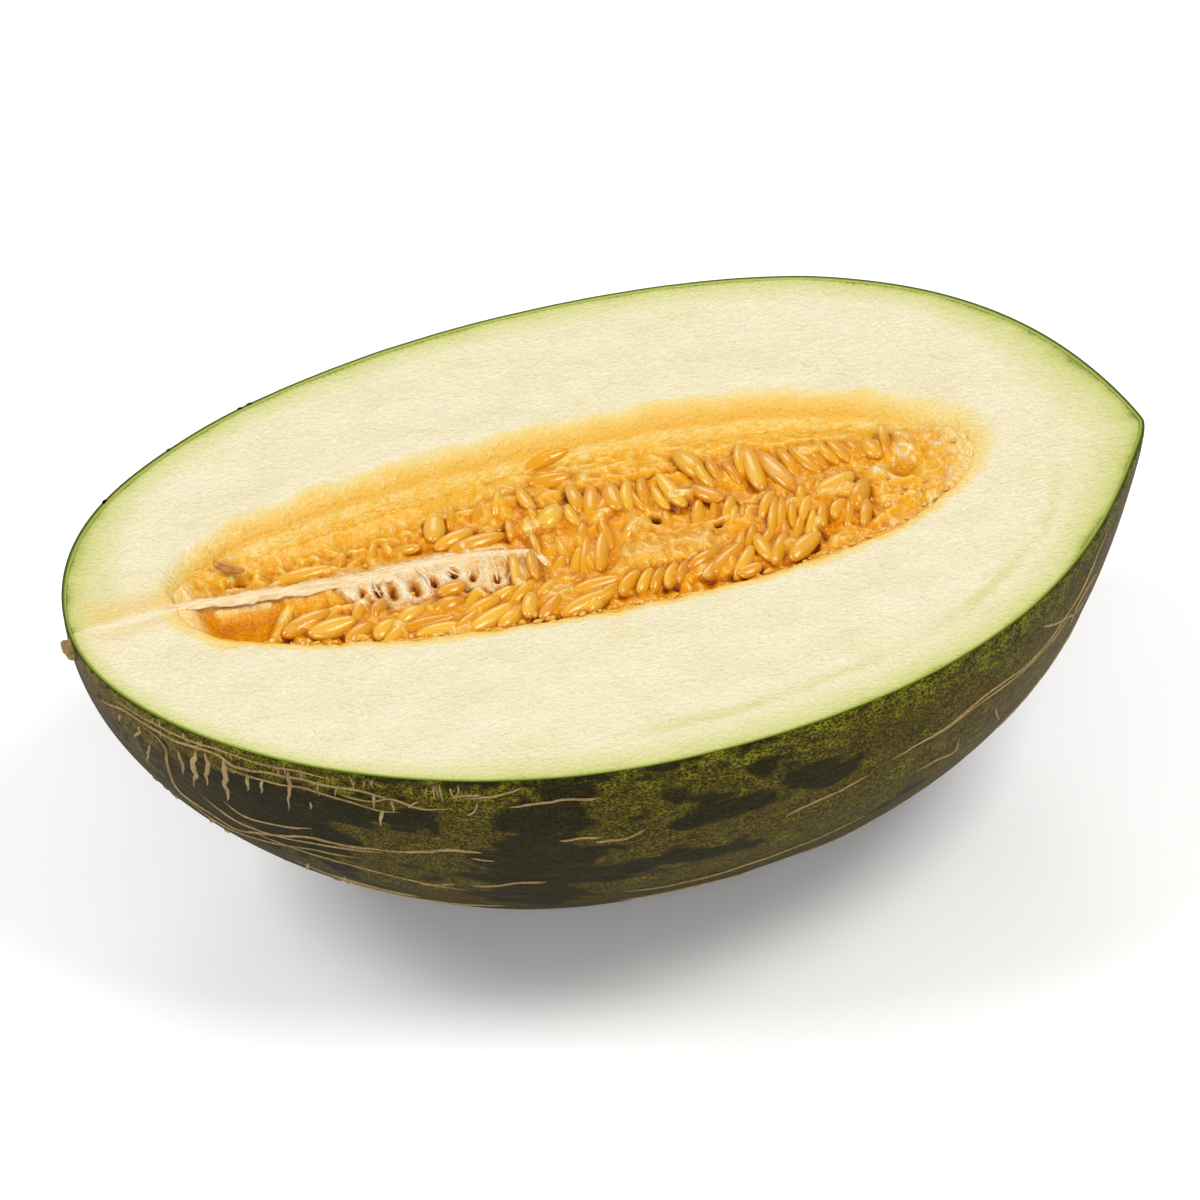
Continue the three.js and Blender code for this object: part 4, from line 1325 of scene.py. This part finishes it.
def pulpFinish():
    soft = Finish(
        "orangePulp", Subsurface_Weight=0.12, Subsurface_Scale=0.0008, Subsurface_Radius=(1.0, 0.6, 0.2),
        Specular_IOR_Level=0.25, Specular_Tint=(1, 0.85, 0.5, 1), Coat_Roughness=0.12,
    )
    fine = soft.grain((1.0, 1.5, 1.0), 3.0, 0.6)
    slow = soft.grain((9, 7, 7), 2.0)
    crease = soft.grain((1.6, 3.4, 2.0), 2.0, 0.55) - 0.5
    film = (1 - crease * crease * 260).between(0.2, 0.9)
    # painted shade and highlight: the pulp is darker the deeper it lies below the pulp round it and lighter
    # where it stands above, and the thin crease lines are painted lighter; every colour ramp below follows
    # this
    rise = 0.54 - soft.feature("cavity") * 0.48 + (fine - 0.5) * 0.4 + film * 0.1
    golden = soft.ramp(
        rise, (0.0, "7a3000"), (0.2, "bc6200"), (0.4, "e48e02"), (0.58, "f2a60e"), (0.75, "f9c440"),
        (0.95, "fde6a6"),
    )
    tan = soft.ramp(
        rise, (0.0, "7a3804"), (0.22, "bc6c10"), (0.45, "e29e2a"), (0.75, "f4c566"), (0.95, "fde5ac"),
    )
    pale = soft.ramp(
        rise, (0.0, "6a300a"), (0.25, "b87430"), (0.42, "d99e58"), (0.58, "eec88a"), (0.8, "f9e6c2"),
    )
    far = soft.ramp(rise, (0.1, "d98408"), (0.45, "f3ab1f"), (0.75, "fbcb54"), (0.95, "fde3a0"))
    colour = soft.blend(soft.feature("farSide"), golden, far)
    colour = soft.blend(soft.feature("stemEnd") * 0.6, colour, far)
    jelly = soft.grain((4.5, 3.2, 3.0), 1.0).between(0.5, 0.6)
    clear = soft.ramp(rise, (0.2, "d88a00"), (0.6, "f0aa08"))
    colour = soft.blend(soft.feature("stemEnd") * jelly * 0.8, colour, clear)
    colour = soft.blend(soft.feature("tanSkin") * slow.between(0.3, 0.6), colour, tan)
    colour = soft.blend(soft.feature("paleWeb"), colour, pale)
    pocket = soft.ramp(rise, (0.1, "cc6e00"), (0.6, "f09e04"))
    colour = soft.blend(soft.feature("pocket").between(0.2, 0.8), colour, pocket)
    colour = soft.blend(soft.feature("nearEdge") * fine.between(0.3, 0.6), colour, "f7d488")
    colour = soft.blend(soft.feature("tips") * (0.6 + 0.3 * slow), colour, "f6da8e")
    relief = soft.bump(fine * 0.6 + film, 0.0002, 0.9)
    wet = (0.8 - soft.feature("cavity") + (fine - 0.5) * 1.2).between(0.0, 1.4)
    wet = wet * (1 - soft.feature("pocket")) * 0.4
    return soft.paint(Base_Color=colour, Normal=relief, Roughness=0.14 + 0.24 * fine, Coat_Weight=wet)


pulpLayers = pulpMaps()
seedCoat = seedFinish()
makeSeeds("looseSeeds", looseSettings, seedShape["loose"], seedCoat, 12, pulpLayers, 0.75)
makeSeeds("packedSeeds", packedSettings, seedShape["packed"], seedCoat, 13, pulpLayers)

print("stage: pulp")
makePulp(pulpLayers)

print("stage: strand and crumbs")


# ---- strand, threads and crumbs
def tube(path, halfWidth, halfHeight, around):
    # a flattened round section carried along a path of points; both ends close to a point
    ahead = np.gradient(path, axis=0)
    ahead /= np.linalg.norm(ahead, axis=1, keepdims=True)
    side = np.cross(ahead, np.array([0.0, 0.0, 1.0]))
    side /= np.linalg.norm(side, axis=1, keepdims=True) + 1e-9
    up = np.cross(side, ahead)
    v = ringAngles(around)
    halfWidth, halfHeight = (np.broadcast_to(h, len(path))[:, None, None] for h in (halfWidth, halfHeight))
    ring = side[:, None] * np.cos(v)[None, :, None] * halfWidth
    ring = ring + up[:, None] * np.sin(v)[None, :, None] * halfHeight
    grid = path[:, None] + ring
    first = np.repeat(path[:1, None], around, axis=1)
    last = np.repeat(path[-1:, None], around, axis=1)
    return np.concatenate([first, grid, last])


def joined(name, grids, material, node):
    # several tubes or balls made one piece, kept just below the cut
    points, faces = stitched(grids)
    points[:, 2] = np.minimum(points[:, 2], -0.05)
    piece = makePiece(name, points, faces)
    piece.data.materials.append(material)
    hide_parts(node)


def paleFinish(name, low, middle, high, grainSize=(1.5, 1.0, 1.0)):
    pale = Finish(
        name, Subsurface_Weight=0.1, Subsurface_Scale=0.0005, Subsurface_Radius=(1.0, 0.75, 0.45),
        Specular_IOR_Level=0.5,
    )
    fine = pale.grain(grainSize, 3.0, 0.6)
    colour = pale.ramp(fine, (0.3, low), (0.5, middle), (0.7, high))
    return pale.paint(Base_Color=colour, Normal=pale.bump(fine, 0.0004, 0.6), Roughness=0.18 + 0.2 * fine)


def makeStrand():
    # a soft flat rope: lengthwise cords on its back, ragged edges, sunk into the flesh at its left end
    path = chain(strand["path"], 0.4)
    path[:, 2] = -path[:, 2] - 0.3
    u = np.linspace(0, 1, len(path))
    swell = (0.5 + 0.5 * smooth(0.06, 0.3, u)) * (1 - 0.55 * smooth(0.72, 1.0, u))
    ragged = 1 + 0.4 * lumps(path, (3, 3, 3), 61, 3)
    path[:, 1] += 0.5 * lumps(path, (7, 50, 50), 64, 2) * smooth(0.1, 0.3, u)
    path[:, 2] += 0.3 * lumps(path, (6, 50, 50), 65, 2)
    halfHeight = strand["halfHeight"] * (0.4 + 0.6 * swell)
    grid = tube(path, strand["halfWidth"] * swell * ragged, halfHeight, strand["round"])
    turn = ringAngles(strand["round"])[None, :]
    onRope = stacked(path[:, 0:1] + 0 * turn, 2.2 * np.cos(turn) + 9, 2.2 * np.sin(turn))
    grid[1:-1, :, 2] += 0.22 * lumps(onRope, (9, 1.1, 1.1), 62, 2)
    fray = 0.5 * lumps(grid[1:-1], (1.6, 1.6, 1.6), 63, 2)
    grid[1:-1, :, 1] += fray * np.abs(np.cos(turn)) ** 2
    finish = paleFinish("paleStrand", "e2b878", "f0d29c", "faeac6", (5.0, 0.7, 0.7))
    joined("placentaStrand", [grid], finish, "placenta_strand")


def makeWeb():
    # fine threads over the web: they leave the strand, cross, and are stuck to the seeds
    picker = np.random.RandomState(17)
    threads = []
    for x in np.arange(-62, -24, 2.3):
        startX, startY = x + picker.uniform(-0.8, 0.8), strandLine(x) - picker.uniform(-0.3, 1.2)
        reach = picker.uniform(3, 9)
        dx, bow = picker.uniform(-3.5, 3.5), picker.uniform(-1.4, 1.4)
        sag = picker.uniform(1.4, 2.4)
        controls = [(startX, startY, 1.6), (startX + dx * 0.3 + bow, startY - reach * 0.5, sag)]
        controls.append((startX + dx, startY - reach, sag + 0.8))
        path = chain(controls, 0.5)
        path[:, 2] *= -1
        taper = np.sin(np.linspace(0.35, math.pi - 0.1, len(path))) ** 0.6
        threads.append(tube(path, picker.uniform(0.15, 0.5) * taper, 0.12, 6))
    finish = paleFinish("paleFibre", "e8bc84", "f0d09e", "f8e4c0")
    joined("webFibres", threads, finish, "placenta_strand")


def makeCrumbs():
    # torn bits of pulp: along the near edge, at the stem end and scattered between the seeds
    picker = np.random.RandomState(23)
    bits = []
    for number in range(pulp["crumbs"]):
        x = picker.uniform(-98, 86)
        middle, half, _ = hollowSpan(x)
        kind = picker.choice(3, p=[0.68, 0.14, 0.18])
        if kind == 0:
            y = middle - half + picker.uniform(0.0, 1.6)
            depth = picker.uniform(0.5, 1.5)
        elif kind == 1:
            x = picker.uniform(54, 86)
            middle, half, _ = hollowSpan(x)
            y = middle + picker.uniform(-0.95, 0.6) * half
            depth = float(seedLevel(np.array(x), np.array(y))) - 0.3
        else:
            y = middle + picker.uniform(-0.9, 0.4) * half
            depth = float(seedLevel(np.array(x), np.array(y))) - 0.2
        size = picker.uniform(0.25, 0.7)
        sizes = size * picker.uniform(0.6, 1.6, 3) * np.array([1.2, 1.0, 0.8])
        if pocketShare(x, y) < 0.1:
            bits.append(blob((x, y, -max(depth, 0.5)), sizes, number))
    finish = paleFinish("tornPulp", "e89a20", "efb040", "f6cc7c", (2.5, 2.5, 2.5))
    joined("pulpCrumbs", bits, finish, "seed_mass")


makeStrand()
makeWeb()
makeCrumbs()
